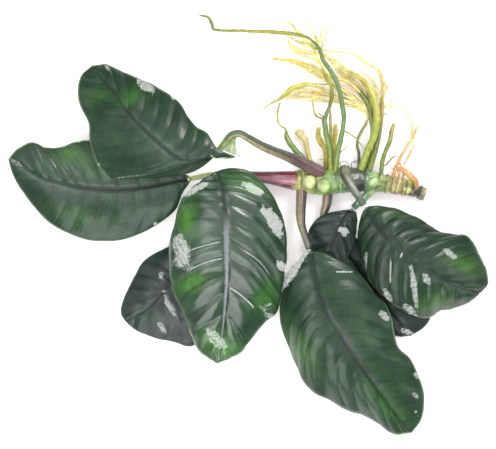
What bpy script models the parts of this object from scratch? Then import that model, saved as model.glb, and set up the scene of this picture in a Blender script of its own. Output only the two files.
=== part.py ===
"""A bare-root anubias of the kind with quilted leaves, lying on a table as it is lifted from the water.

A thick creeping stem, the rhizome, carries eight leaf stalks with a blade on each, and a tuft of
green and yellow roots. Millimetres, seen from above: X runs right, Y away from the viewer and Z up.
The origin is on the table under the middle of the plant.
"""

import bmesh
import bpy
import numpy as np
from mathutils import Vector

MM = 0.001

# Driving sizes, in millimetres.
VIEW_HEIGHT = 1300.0  # places are read from a view this high, which spreads what stands higher
GAP = 0.3  # clear space between pieces that meet
BLADE_THICK = 0.95
BLADE_RIM_THICK = 0.6
RIB_DEPTH = 1.5  # the midrib under a blade, at the stalk
RIB_DEPTH_TIP = 0.2
QUILT_DEPTH = 1.3  # from a sunken side vein to the top of the bulge beside it
MIDRIB_GROOVE = 0.8
RING_HEIGHT = 0.45  # the leaf scars round the rhizome
RING_SPACING = 3.1

# How a blade is divided. Veins on the first part of the edge all come from the stalk.
BASAL_PART = 0.33
BASAL_VEINS = 4
BLADE_STEPS = (0.36, 0.7, 1.0)
VEIN_BOW = 0.09
STALK_SIDES = 8
ROOT_SIDES = 6
RHIZOME_SIDES = 13
RHIZOME_STEPS = 34
WING_SHAPE = (1.0, 0.45, 0.1)  # how far a stalk's last rings reach to the wing's corner

# One entry for each leaf. The midrib runs from the stalk to the tip. The left and the right edge,
# as seen from the stalk, have evenly spread points between those two ends.
LEAVES = {
    "upper_left": {
        "veins": 9,
        "crown": (0.03, 0.10),
        "midrib": [
            (-16.4, 34.7, 32.0), (-20.5, 33.4, 33.0), (-27.8, 32.5, 33.5), (-36.0, 34.0, 33.0),
            (-44.3, 40.5, 31.5), (-50.8, 46.5, 29.5), (-57.8, 53.5, 27.0), (-62.8, 60.0, 24.0),
            (-67.3, 66.5, 21.0), (-72.8, 73.0, 17.5), (-78.3, 80.5, 14.0),
        ],
        "left": [
            (-19.6, 33.2, 30.0), (-25.0, 28.4, 25.5), (-32.5, 25.5, 21.5), (-40.8, 24.2, 19.5),
            (-49.5, 23.5, 18.0), (-58.0, 23.9, 17.0), (-67.8, 22.8, 16.5), (-72.5, 27.2, 16.0),
            (-77.0, 34.3, 15.0), (-79.3, 42.5, 14.0), (-80.0, 51.0, 13.5), (-83.5, 58.5, 13.0),
            (-85.3, 66.8, 12.5), (-83.9, 75.0, 12.5),
        ],
        "right": [
            (-6.8, 34.6, 31.2), (-15.5, 39.0, 33.0), (-20.6, 46.3, 31.0), (-26.3, 50.1, 29.5),
            (-30.3, 55.0, 27.0), (-33.9, 61.2, 24.5), (-39.3, 65.5, 22.5), (-45.3, 69.5, 20.5),
            (-51.6, 72.7, 18.5), (-58.3, 75.3, 17.0), (-64.8, 78.0, 15.5), (-71.3, 81.0, 14.0),
        ],
    },
    "left": {
        "veins": 10,
        "crown": (0.08, 0.08),
        "midrib": [
            (-28.3, 23.5, 14.0), (-35.0, 23.0, 14.0), (-50.8, 20.0, 13.0), (-63.8, 18.5, 12.0),
            (-79.8, 19.3, 10.5), (-91.3, 21.3, 9.0), (-103.3, 24.0, 7.0), (-112.3, 29.0, 5.0),
            (-120.3, 33.3, 3.0),
        ],
        "left": [
            (-32.8, 16.5, 12.0), (-37.0, 8.0, 10.5), (-44.3, 1.5, 8.5), (-52.8, -3.3, 7.0),
            (-61.9, -6.5, 5.5), (-71.5, -7.7, 4.0), (-81.3, -7.0, 3.0), (-90.3, -3.5, 2.2),
            (-99.0, 1.0, 1.6), (-105.8, 7.5, 1.2), (-111.5, 15.5, 1.0), (-116.9, 23.7, 1.2),
        ],
        "right": [
            (-35.3, 28.2, 12.0), (-41.8, 32.0, 10.5), (-48.8, 35.3, 9.5), (-56.0, 38.5, 8.5),
            (-63.5, 41.3, 8.0), (-71.0, 43.0, 7.5), (-79.0, 43.0, 7.0), (-86.8, 42.0, 6.5),
            (-94.0, 39.5, 6.5), (-101.5, 39.5, 5.5), (-108.3, 41.8, 5.0), (-115.5, 38.7, 3.5),
        ],
    },
    "centre": {
        "veins": 10,
        "crown": (0.10, 0.10),
        "midrib": [
            (-16.4, 27.0, 27.8), (-13.3, 18.0, 30.0), (-11.3, 5.5, 30.5), (-10.8, -9.5, 29.0),
            (-10.8, -24.5, 25.5), (-11.8, -39.5, 20.0), (-13.3, -54.5, 13.0), (-15.8, -69.0, 5.5),
        ],
        "left": [
            (-9.0, 29.3, 28.0), (0.0, 27.5, 27.0), (7.3, 21.5, 25.0), (14.8, 10.5, 22.0),
            (18.8, -2.5, 19.5), (19.0, -15.5, 17.5), (17.3, -29.0, 15.5), (14.3, -42.5, 12.5),
            (4.8, -52.0, 9.5), (-3.8, -63.0, 7.0),
        ],
        "right": [
            (-22.3, 23.5, 26.5), (-30.8, 16.8, 23.5), (-34.4, 11.5, 23.5), (-36.8, 2.8, 21.0),
            (-38.6, -5.8, 19.0), (-39.8, -14.5, 17.5), (-39.4, -23.5, 16.0), (-37.7, -32.3, 14.5),
            (-34.3, -40.0, 13.0), (-31.0, -48.5, 11.0), (-28.0, -56.8, 9.0), (-23.0, -64.0, 7.0),
        ],
    },
    "low_left": {
        "veins": 7,
        "crown": (0.07, 0.07),
        "midrib": [
            (-20.8, -12.0, 9.0), (-29.3, -18.5, 9.5), (-36.8, -26.0, 9.5), (-43.8, -34.5, 8.0),
            (-51.3, -42.0, 5.5), (-61.8, -47.5, 2.0),
        ],
        "left": [
            (-16.3, -16.0, 8.5), (-13.8, -24.5, 7.0), (-13.8, -34.5, 5.5), (-16.8, -44.5, 4.0),
            (-21.3, -53.0, 2.5), (-27.8, -60.0, 1.3), (-35.8, -58.5, 1.0), (-44.3, -56.5, 1.0),
            (-51.8, -54.3, 1.0), (-57.8, -51.3, 1.2),
        ],
        "right": [
            (-24.3, -7.5, 8.5), (-32.3, -7.5, 7.0), (-39.8, -10.3, 5.5), (-46.8, -13.3, 4.5),
            (-52.8, -18.0, 3.5), (-56.5, -24.0, 2.5), (-60.0, -30.5, 2.0), (-63.0, -37.5, 1.5),
            (-63.8, -43.5, 1.5),
        ],
    },
    "lower_right": {
        "veins": 11,
        "crown": (0.09, 0.12),
        "midrib": [
            (30.8, -12.5, 20.5), (32.3, -21.0, 22.5), (35.5, -34.5, 23.5), (38.8, -43.0, 23.0),
            (43.8, -51.5, 21.5), (50.8, -62.4, 18.5), (56.3, -70.0, 16.0), (63.3, -79.8, 12.0),
            (68.8, -88.0, 8.5), (75.5, -96.5, 5.0), (81.8, -103.5, 2.0),
        ],
        "left": [
            (38.6, -13.7, 21.0), (45.8, -17.2, 20.5), (52.6, -21.4, 19.5), (58.0, -27.0, 18.5),
            (62.8, -33.3, 17.0), (68.6, -38.7, 15.5), (71.6, -46.0, 14.0), (73.2, -53.9, 12.0),
            (75.3, -61.2, 10.5), (81.1, -66.8, 8.5), (84.9, -73.7, 6.5), (87.4, -81.3, 5.0),
            (87.9, -89.3, 3.5), (86.4, -97.0, 2.5),
        ],
        "right": [
            (23.4, -18.0, 15.0), (18.5, -25.3, 11.5), (15.8, -34.0, 9.5), (15.3, -43.1, 8.5),
            (16.7, -52.1, 7.5), (20.0, -60.5, 6.5), (23.3, -68.8, 5.5), (26.9, -76.8, 4.5),
            (33.0, -83.6, 3.5), (41.0, -87.6, 2.8), (49.0, -92.1, 2.2), (57.5, -94.9, 1.6),
            (65.3, -99.5, 1.2), (72.8, -104.3, 1.0),
        ],
    },
    "small_middle": {
        "veins": 6,
        "crown": (0.05, 0.07),
        "midrib": [
            (51.8, 8.3, 10.5), (47.3, 2.0, 12.5), (43.0, -7.0, 13.0), (40.3, -16.0, 12.0),
            (38.8, -25.0, 10.0), (38.3, -35.0, 7.5),
        ],
        "left": [
            (54.0, 6.0, 10.5), (54.5, 2.0, 9.5), (54.2, -2.5, 9.5), (53.0, -7.0, 9.0),
            (51.5, -11.5, 9.0), (49.5, -16.0, 8.5), (47.3, -21.0, 8.0), (44.8, -26.5, 7.5),
            (41.8, -31.5, 7.3),
        ],
        "right": [
            (48.3, 7.8, 11.0), (43.8, 7.5, 11.0), (39.3, 6.5, 10.5), (34.8, 4.3, 10.0),
            (31.8, 1.0, 9.5), (29.8, -3.5, 9.0), (30.0, -8.0, 8.5), (31.8, -14.0, 8.0),
            (33.3, -20.5, 7.5), (34.3, -27.0, 7.0), (35.8, -32.0, 7.0),
        ],
    },
    "right": {
        "veins": 10,
        "crown": (0.09, 0.10),
        "midrib": [
            (58.3, 9.3, 18.5), (62.3, 3.5, 20.5), (67.3, -3.0, 22.5), (72.8, -8.5, 24.0),
            (79.8, -15.0, 24.0), (87.3, -21.0, 22.0), (95.8, -26.5, 18.5), (104.8, -30.5, 13.5),
            (115.8, -33.5, 7.5),
        ],
        "left": [
            (64.5, 10.2, 18.0), (71.3, 9.5, 17.5), (77.9, 7.5, 17.0), (84.0, 4.5, 16.5),
            (89.8, 0.9, 15.5), (95.8, -2.3, 14.5), (102.5, -4.0, 13.5), (109.1, -5.2, 12.5),
            (113.6, -10.0, 11.0), (116.5, -16.2, 9.5), (119.2, -22.2, 8.0), (119.9, -28.8, 7.0),
        ],
        "right": [
            (55.8, 2.1, 14.5), (54.6, -5.3, 12.5), (55.3, -12.7, 12.5), (57.3, -19.9, 12.5),
            (60.3, -26.8, 13.0), (64.8, -32.5, 13.5), (70.3, -37.7, 12.5), (76.6, -41.5, 10.5),
            (83.1, -45.0, 7.5), (90.3, -45.8, 5.0), (96.3, -42.5, 4.0), (103.7, -41.3, 4.0),
            (110.5, -38.5, 5.0),
        ],
    },
    "lowest": {
        "veins": 6,
        "crown": (0.05, 0.05),
        "midrib": [
            (39.8, -3.0, 4.8), (46.8, -12.0, 5.2), (54.8, -22.0, 5.0), (62.8, -33.0, 4.5),
            (70.8, -43.5, 3.5), (81.3, -55.0, 1.5),
        ],
        "left": [
            (45.8, -1.0, 4.8), (52.8, -5.0, 4.5), (59.8, -11.0, 4.2), (66.8, -18.0, 4.0),
            (74.3, -25.5, 3.5), (81.8, -32.5, 3.0), (88.3, -39.0, 2.2), (90.8, -45.5, 1.5),
            (87.5, -51.0, 1.2),
        ],
        "right": [
            (38.3, -8.5, 4.5), (40.8, -16.0, 4.0), (44.8, -24.5, 3.5), (49.8, -32.5, 2.8),
            (55.8, -40.0, 2.2), (62.3, -47.0, 1.6), (68.8, -52.5, 1.2), (74.8, -55.3, 1.0),
        ],
    },
}

# The stalks, from the rhizome to the blade: places, and radii spread evenly along them.
STALKS = {
    "upper_left": {
        "colour": "stalk green",
        "radii": [3.3, 2.9, 2.4, 2.15, 1.9, 1.75, 1.8, 2.0, 1.8, 1.5],
        "path": [
            (34.3, 27.5, 11.5), (25.8, 32.0, 16.5), (19.3, 34.8, 21.0), (8.3, 39.3, 28.0),
            (0.8, 43.4, 32.6), (-4.2, 46.2, 35.0), (-8.4, 45.5, 34.0), (-10.8, 42.6, 31.2),
            (-12.9, 40.2, 28.4), (-14.8, 37.6, 26.8),
        ],
        "wing": (-3.4, 34.6, 27.5),
    },
    "left": {
        "colour": "stalk green",
        "radii": [1.7, 1.6, 1.5, 1.5, 1.5, 1.4],
        "path": [
            (23.3, 23.8, 4.6), (10.8, 24.7, 6.2), (4.3, 25.0, 8.3), (-2.8, 25.3, 10.5),
            (-11.8, 25.8, 12.5), (-20.3, 25.3, 13.3), (-27.0, 24.0, 13.0),
        ],
    },
    "centre": {
        "colour": "stalk red",
        "radii": [3.5, 3.1, 2.4, 1.9, 1.8, 1.7, 1.5],
        "path": [
            (23.3, 23.8, 9.6), (16.8, 24.2, 10.8), (10.8, 24.8, 13.0), (4.3, 25.3, 16.5),
            (-2.8, 25.6, 20.0), (-10.0, 26.0, 22.8), (-14.8, 26.2, 23.4),
        ],
    },
    "low_left": {
        "colour": "stalk green",
        "radii": [1.5, 1.4, 1.4, 1.4, 1.3],
        "path": [
            (22.8, 19.3, 3.2), (14.5, 21.4, 2.3), (7.0, 22.6, 1.8), (0.5, 19.0, 1.6),
            (-5.5, 12.0, 1.7), (-11.5, 2.0, 2.6), (-17.0, -7.0, 6.0), (-20.0, -11.0, 8.0),
        ],
    },
    "lower_right": {
        "colour": "stalk purple",
        "radii": [2.7, 2.5, 2.4, 2.0, 1.7, 1.5],
        "path": [
            (26.8, 19.5, 7.5), (26.3, 12.0, 9.5), (26.1, 5.8, 12.0), (26.6, 0.5, 14.3),
            (28.2, -5.0, 17.0), (30.2, -11.2, 19.3),
        ],
    },
    "small_middle": {
        "colour": "stalk green",
        "radii": [2.0, 1.9, 1.8, 1.6],
        "path": [(62.3, 19.0, 6.0), (58.8, 15.0, 6.5), (55.3, 11.8, 8.0), (52.6, 9.3, 9.2)],
    },
    "right": {
        "colour": "stalk purple",
        "radii": [3.0, 2.3, 2.0, 1.9, 1.8, 1.6],
        "path": [
            (48.4, 27.5, 11.0), (48.8, 24.5, 15.0), (50.8, 21.0, 16.7), (52.8, 17.8, 17.4),
            (55.3, 14.3, 17.8), (57.7, 10.5, 17.6),
        ],
    },
    "lowest": {
        "colour": "stalk brown",
        "radii": [2.6, 2.3, 1.9, 1.6, 1.4],
        "path": [
            (39.8, 18.0, 6.5), (39.2, 11.5, 5.8), (37.8, 6.5, 5.0), (37.5, 2.0, 4.4),
            (39.0, -1.6, 4.0),
        ],
    },
}

# The rhizome from its growing end, at the left, to its old cut end: the axis, and radii spread
# evenly along it. Knobs are old leaf and flower bases: place along, turn round the axis, height.
RHIZOME = {
    "path": [
        (21.5, 23.3, 7.4), (26.0, 22.8, 7.0), (33.0, 22.0, 6.7), (41.0, 22.3, 6.7),
        (49.0, 23.0, 6.5), (57.0, 23.0, 6.5), (66.0, 21.8, 5.6), (72.0, 20.5, 5.0),
        (78.5, 19.5, 4.9), (83.0, 17.8, 4.2), (88.3, 15.8, 3.8),
    ],
    "radii": [3.9, 5.5, 6.1, 6.5, 6.1, 5.9, 4.6, 4.2, 4.2, 2.9, 3.2],
    "knobs": [(0.14, 75.0, 1.6), (0.36, 105.0, 1.4), (0.58, 140.0, 1.2), (0.7, 130.0, 1.0)],
}

# The main roots, from the rhizome outwards, split where they fork.
ROOTS = {
    "long": {
        "colour": "root green",
        "radii": [1.5, 1.4, 1.25, 1.2, 1.15, 1.15, 1.1, 0.9, 0.6, 0.9, 1.1, 1.0, 0.8, 0.65, 0.9,
                  0.7, 0.35],
        "path": [
            (43.4, 27.0, 9.5), (44.6, 37.0, 13.5), (46.8, 46.5, 15.5), (47.5, 56.0, 16.0),
            (45.3, 68.5, 15.0), (41.8, 76.5, 14.0), (37.3, 83.0, 12.5), (35.0, 89.3, 11.0),
            (30.3, 93.8, 9.0), (25.8, 95.5, 7.5), (18.8, 96.5, 6.0), (6.8, 97.3, 4.0),
            (-2.8, 97.5, 3.0), (-16.4, 98.1, 1.6), (-18.2, 101.3, 1.3), (-20.3, 104.5, 1.0),
            (-24.8, 105.3, 0.9),
        ],
    },
    "forked": {
        "colour": "root green",
        "radii": [1.4, 1.3, 1.3, 1.4, 1.2],
        "path": [
            (41.3, 27.0, 8.5), (40.8, 37.0, 10.0), (39.5, 42.7, 10.5), (38.3, 50.0, 10.0),
            (37.9, 53.5, 9.5),
        ],
    },
    "forked_right": {
        "colour": "root yellow",
        "radii": [1.0, 0.9, 0.9, 0.8, 0.6, 0.3],
        "path": [
            (38.6, 55.0, 9.2), (40.9, 61.0, 8.0), (41.8, 67.0, 7.0), (40.8, 72.0, 6.0),
            (37.8, 77.0, 5.0), (35.8, 81.5, 4.0),
        ],
    },
    "forked_left": {
        "colour": "root yellow",
        "radii": [0.8, 0.75, 0.8, 0.35],
        "path": [(36.2, 54.0, 8.8), (33.8, 55.0, 7.5), (32.4, 58.0, 6.5), (31.8, 63.0, 5.0)],
    },
    "slim": {
        "colour": "root yellow",
        "radii": [0.9, 0.85, 0.8, 0.8, 0.4],
        "path": [
            (43.3, 27.5, 6.3), (42.3, 38.0, 7.0), (41.3, 45.0, 7.0), (40.9, 52.0, 6.0),
            (41.1, 58.0, 4.8),
        ],
    },
    "stub_middle": {
        "colour": "root yellow",
        "radii": [1.2, 1.3, 1.3, 1.1],
        "path": [(43.0, 27.5, 3.0), (42.6, 38.0, 3.2), (43.3, 45.0, 3.0), (43.6, 51.0, 2.5)],
    },
    "stub_bent": {
        "colour": "root yellow",
        "radii": [1.3, 1.5, 1.5, 1.4, 1.0],
        "path": [
            (39.0, 27.0, 4.5), (38.8, 37.0, 4.0), (36.3, 42.0, 3.0), (34.8, 45.3, 2.6),
            (35.0, 49.3, 2.0),
        ],
    },
    "stub_pale": {
        "colour": "root pale",
        "radii": [1.2, 1.3, 1.35, 1.6, 1.9, 1.2],
        "path": [
            (34.0, 27.0, 4.5), (30.2, 34.0, 3.5), (29.2, 40.0, 3.0), (27.7, 44.0, 2.6),
            (25.5, 46.3, 2.4), (23.8, 47.5, 2.2),
        ],
    },
    "left": {
        "colour": "root green",
        "radii": [1.4, 1.4, 1.45, 1.5, 1.4, 0.8],
        "path": [
            (31.0, 26.5, 5.5), (27.5, 33.5, 6.0), (24.0, 37.0, 5.6), (21.1, 40.8, 5.0),
            (19.3, 44.5, 4.4), (18.8, 47.3, 3.8),
        ],
    },
    "left_thread": {
        "colour": "root yellow",
        "radii": [0.6, 0.55, 0.55, 0.5, 0.45],
        "path": [
            (18.3, 48.8, 3.4), (15.6, 50.5, 2.8), (14.5, 54.0, 2.2), (14.8, 57.5, 1.8),
            (15.9, 61.6, 1.5),
        ],
    },
    "arch_low": {
        "colour": "root yellow",
        "radii": [0.7, 0.9, 1.1, 1.3, 1.2, 0.8, 0.5, 0.3],
        "path": [
            (38.0, 68.5, 3.0), (32.0, 70.5, 3.6), (28.5, 70.7, 3.8), (23.6, 69.5, 3.8),
            (19.2, 66.8, 3.6), (15.9, 63.8, 3.2), (11.9, 61.5, 2.0), (6.8, 58.6, 1.0),
        ],
    },
    "arch_high": {
        "colour": "root yellow",
        "radii": [0.8, 1.1, 1.3, 1.1, 0.9, 0.5],
        "path": [
            (38.6, 73.0, 2.5), (36.4, 75.9, 2.8), (30.0, 79.4, 3.0), (25.1, 81.4, 2.8),
            (19.6, 82.9, 2.2), (11.8, 83.6, 1.2),
        ],
    },
    "broad": {
        "colour": "root yellow",
        "radii": [1.7, 1.65, 1.7, 1.8, 1.75, 1.6, 1.35, 1.1, 0.9, 0.6, 0.35],
        "path": [
            (56.0, 28.0, 9.5), (59.8, 38.3, 10.5), (62.4, 44.1, 10.5), (63.8, 50.0, 10.0),
            (64.2, 55.1, 9.5), (63.5, 61.0, 9.0), (62.4, 65.4, 8.5), (59.8, 70.2, 7.5),
            (57.2, 72.8, 6.5), (54.3, 74.2, 5.5), (46.9, 78.3, 3.0),
        ],
    },
    "broad_right": {
        "colour": "root green",
        "radii": [1.5, 1.5, 1.2, 1.1, 1.0, 0.85, 0.7, 0.6, 0.5, 0.4, 0.3],
        "path": [
            (60.5, 28.0, 6.0), (63.1, 37.2, 6.0), (64.9, 43.4, 5.5), (66.0, 50.0, 5.0),
            (66.8, 55.9, 4.8), (67.1, 60.3, 4.6), (67.5, 68.4, 4.2), (66.8, 75.0, 3.6),
            (65.3, 77.9, 3.0), (62.7, 79.7, 2.4), (57.2, 83.0, 1.2),
        ],
    },
    "broad_left": {
        "colour": "root green",
        "radii": [1.1, 1.2, 1.3, 1.4, 1.4, 1.3, 1.0, 0.4],
        "path": [
            (58.0, 28.0, 4.0), (60.8, 39.0, 5.0), (62.2, 47.0, 5.2), (61.8, 53.0, 5.0),
            (60.5, 59.5, 4.6), (57.9, 63.9, 4.0), (52.1, 71.2, 2.6), (48.5, 74.0, 1.6),
        ],
    },
    "dark_thin": {
        "colour": "root green",
        "radii": [0.8, 0.8, 0.75, 0.75, 0.7, 0.5],
        "path": [
            (55.4, 27.5, 4.5), (55.2, 36.0, 4.5), (54.3, 39.7, 4.2), (55.0, 44.1, 3.6),
            (56.8, 48.1, 2.8), (59.2, 51.6, 2.0),
        ],
    },
    "right": {
        "colour": "root green",
        "radii": [1.1, 1.1, 1.05, 1.1, 1.2, 0.8],
        "path": [
            (66.0, 24.5, 6.0), (67.1, 32.4, 6.5), (68.6, 37.2, 6.2), (70.4, 41.9, 5.4),
            (71.5, 47.0, 4.2), (72.6, 51.1, 3.0),
        ],
    },
    "orange": {
        "colour": "root orange",
        "radii": [0.9, 0.8, 0.75, 0.7, 0.65, 0.6, 0.5, 0.4, 0.3],
        "path": [
            (71.5, 23.0, 5.5), (74.8, 31.7, 6.0), (76.3, 35.3, 6.0), (79.2, 39.7, 5.6),
            (81.4, 44.1, 5.0), (82.2, 49.3, 4.4), (81.1, 52.9, 3.8), (78.9, 56.6, 3.0),
            (70.4, 63.2, 1.0),
        ],
    },
    "orange_fork": {
        "colour": "root orange",
        "radii": [0.5, 0.65, 0.7, 0.3],
        "path": [(82.2, 43.0, 3.4), (82.9, 45.5, 3.0), (83.8, 48.3, 2.4), (85.5, 50.8, 1.5)],
    },
    "orange_stub": {
        "colour": "root orange",
        "radii": [1.2, 1.45, 1.4, 1.3, 0.9],
        "path": [
            (84.0, 18.5, 6.0), (83.4, 22.7, 6.5), (80.9, 24.9, 6.8), (78.2, 27.1, 6.6),
            (75.8, 29.2, 7.8),
        ],
    },
}

COLOURS = {
    "leaf": "2b5230",
    "leaf dark": "22402c",
    "stalk green": "4c6a48",
    "stalk red": "6b2436",
    "stalk purple": "5b5650",
    "stalk brown": "6f5a40",
    "rhizome": "6f9448",
    "root green": "5f8f55",
    "root yellow": "a9bf4e",
    "root pale": "ecdf9a",
    "root orange": "e0b070",
}
DARK_LEAVES = ("low_left", "small_middle", "lowest")


def placed(points):
    """Puts places read from above where they are, in metres: what is higher comes in a little."""
    points = np.array(points, float)
    points[:, :2] *= 1 - points[:, 2:] / VIEW_HEIGHT
    return points * MM


def smooth_line(points, where):
    """A smooth curve through the points, read at each place from 0, its start, to 1, its end."""
    points = np.asarray(points, float)
    if points.ndim == 1:
        points = points[:, None]
    ends = np.vstack([2 * points[0] - points[1], points, 2 * points[-1] - points[-2]])
    spot = np.clip(np.asarray(where, float), 0, 1) * (len(points) - 1)
    first = np.minimum(spot.astype(int), len(points) - 2)
    u = (spot - first)[:, None]
    a, b, c, d = (ends[first + k] for k in range(4))
    return b + 0.5 * u * (c - a + u * (2 * a - 5 * b + 4 * c - d + u * (3 * (b - c) + d - a)))


def unit(vectors):
    lengths = np.linalg.norm(vectors, axis=-1, keepdims=True)
    return vectors / np.maximum(lengths, 1e-12)


def material(name):
    """A wet plant surface in one of the colours."""
    if name in bpy.data.materials:
        return bpy.data.materials[name]
    made = bpy.data.materials.new(name)
    made.use_nodes = True
    shader = made.node_tree.nodes["Principled BSDF"]
    parts = (int(COLOURS[name][i : i + 2], 16) / 255 for i in (0, 2, 4))
    linear = [c / 12.92 if c <= 0.04045 else ((c + 0.055) / 1.055) ** 2.4 for c in parts]
    shader.inputs["Base Color"].default_value = (*linear, 1)
    shader.inputs["Roughness"].default_value = 0.3
    shader.inputs["Metallic"].default_value = 0.0
    return made


def add_object(name, bm, colour):
    bmesh.ops.recalc_face_normals(bm, faces=bm.faces)
    mesh = bpy.data.meshes.new(name)
    bm.to_mesh(mesh)
    bm.free()
    mesh.shade_smooth()
    obj = bpy.data.objects.new(name, mesh)
    bpy.context.scene.collection.objects.link(obj)
    obj.data.materials.append(material(colour))
    return obj


def tube_rings(path, radii, sides, steps):
    """Rings of points round a smooth path, without twist: an array of steps, sides and 3."""
    where = np.linspace(0, 1, steps)
    centres = smooth_line(path, where)
    sizes = smooth_line(np.array(radii) * MM, where)[:, 0]
    ahead = unit(np.gradient(centres, axis=0))
    side = np.empty_like(ahead)
    side[0] = unit(np.cross(ahead[0], (0, 0, 1)))
    for i in range(1, steps):
        side[i] = unit(side[i - 1] - ahead[i] * np.dot(side[i - 1], ahead[i]))
    up = np.cross(side, ahead)
    turn = np.linspace(0, 2 * np.pi, sides, endpoint=False)[None, :, None]
    out = side[:, None] * np.cos(turn) + up[:, None] * np.sin(turn)
    return centres, sizes, out


def add_tube(name, centres, rings, colour, dome):
    """A closed tube through the rings, with a low point in the middle of each end."""
    bm = bmesh.new()
    rows = [[bm.verts.new(p) for p in ring] for ring in rings]
    sides = len(rows[0])
    for lower, upper in zip(rows, rows[1:]):
        for j in range(sides):
            k = (j + 1) % sides
            bm.faces.new((lower[j], lower[k], upper[k], upper[j]))
    for row, end, inner in ((rows[0], 0, 1), (rows[-1], -1, -2)):
        tip = bm.verts.new(centres[end] + unit(centres[end] - centres[inner]) * dome[end])
        for j in range(sides):
            bm.faces.new((row[j], row[(j + 1) % sides], tip))
    return add_object(name, bm, colour)


def stalk_or_root(name, piece, sides):
    steps = 2 + int(1.3 * len(piece["path"]))
    centres, sizes, out = tube_rings(placed(piece["path"]), piece["radii"], sides, steps)
    rings = centres[:, None] + out * sizes[:, None, None]
    if "wing" in piece:
        corner = placed([piece["wing"]])[0]
        edge = np.argmax(out[-1] @ (corner - centres[-1]))
        for back, share in enumerate(WING_SHAPE):
            rings[-1 - back, edge] += (corner - rings[-1 - back, edge]) * share
    return add_tube(name, centres, rings, piece["colour"], {0: 0.0, -1: sizes[-1] * 0.5})


def rhizome(name, grow):
    """The creeping stem with its rings of leaf scars and its knobs, made fatter by grow, in mm."""
    path = placed(RHIZOME["path"])
    centres, sizes, out = tube_rings(path, RHIZOME["radii"], RHIZOME_SIDES, RHIZOME_STEPS)
    step = np.linalg.norm(np.diff(centres, axis=0), axis=1)
    run = np.concatenate([[0], np.cumsum(step)])
    ridge = np.abs(np.cos(np.pi * run / (RING_SPACING * MM))) ** 3 * RING_HEIGHT
    swell = np.tile(ridge[:, None] - RING_HEIGHT / 2 + grow, (1, RHIZOME_SIDES))
    turn = np.linspace(0, 360, RHIZOME_SIDES, endpoint=False)
    for place, angle, height in RHIZOME["knobs"]:
        along = (run / run[-1] - place) * run[-1] / (3.0 * MM)
        round_it = ((turn - angle + 180) % 360 - 180) / 38
        swell += height * np.exp(-along[:, None] ** 2 - round_it[None] ** 2)
    reach = (sizes[:, None] + swell * MM)[..., None]
    ends = {0: (0.8 + grow) * MM, -1: (0.5 + grow) * MM}
    return add_tube(name, centres, centres[:, None] + out * reach, "rhizome", ends)


def blade_rows(veins):
    """Places along the edge where rows of points run out: each vein, and between the veins."""
    basal = np.linspace(0, BASAL_PART, BASAL_VEINS + 1)[1:]
    rest = np.linspace(BASAL_PART, 1, 2 * (veins + 1) + 1)[1:]
    return np.concatenate([[0], basal, rest])


def quilt(t, s, veins):
    """Height of the quilted surface: side veins sunk, the leaf puffed up between them."""
    beyond = np.maximum(t - BASAL_PART, 0) / (1 - BASAL_PART) * (veins + 1)
    puff = np.abs(np.sin(np.pi * beyond)) - 0.5
    puff = np.where(t > BASAL_PART, puff, -0.1)
    fade = np.clip(1.15 - t, 0, 0.25) / 0.25
    return QUILT_DEPTH * puff * np.clip(s / 0.3, 0, 1) * (1.15 - 0.75 * s) * fade


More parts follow.
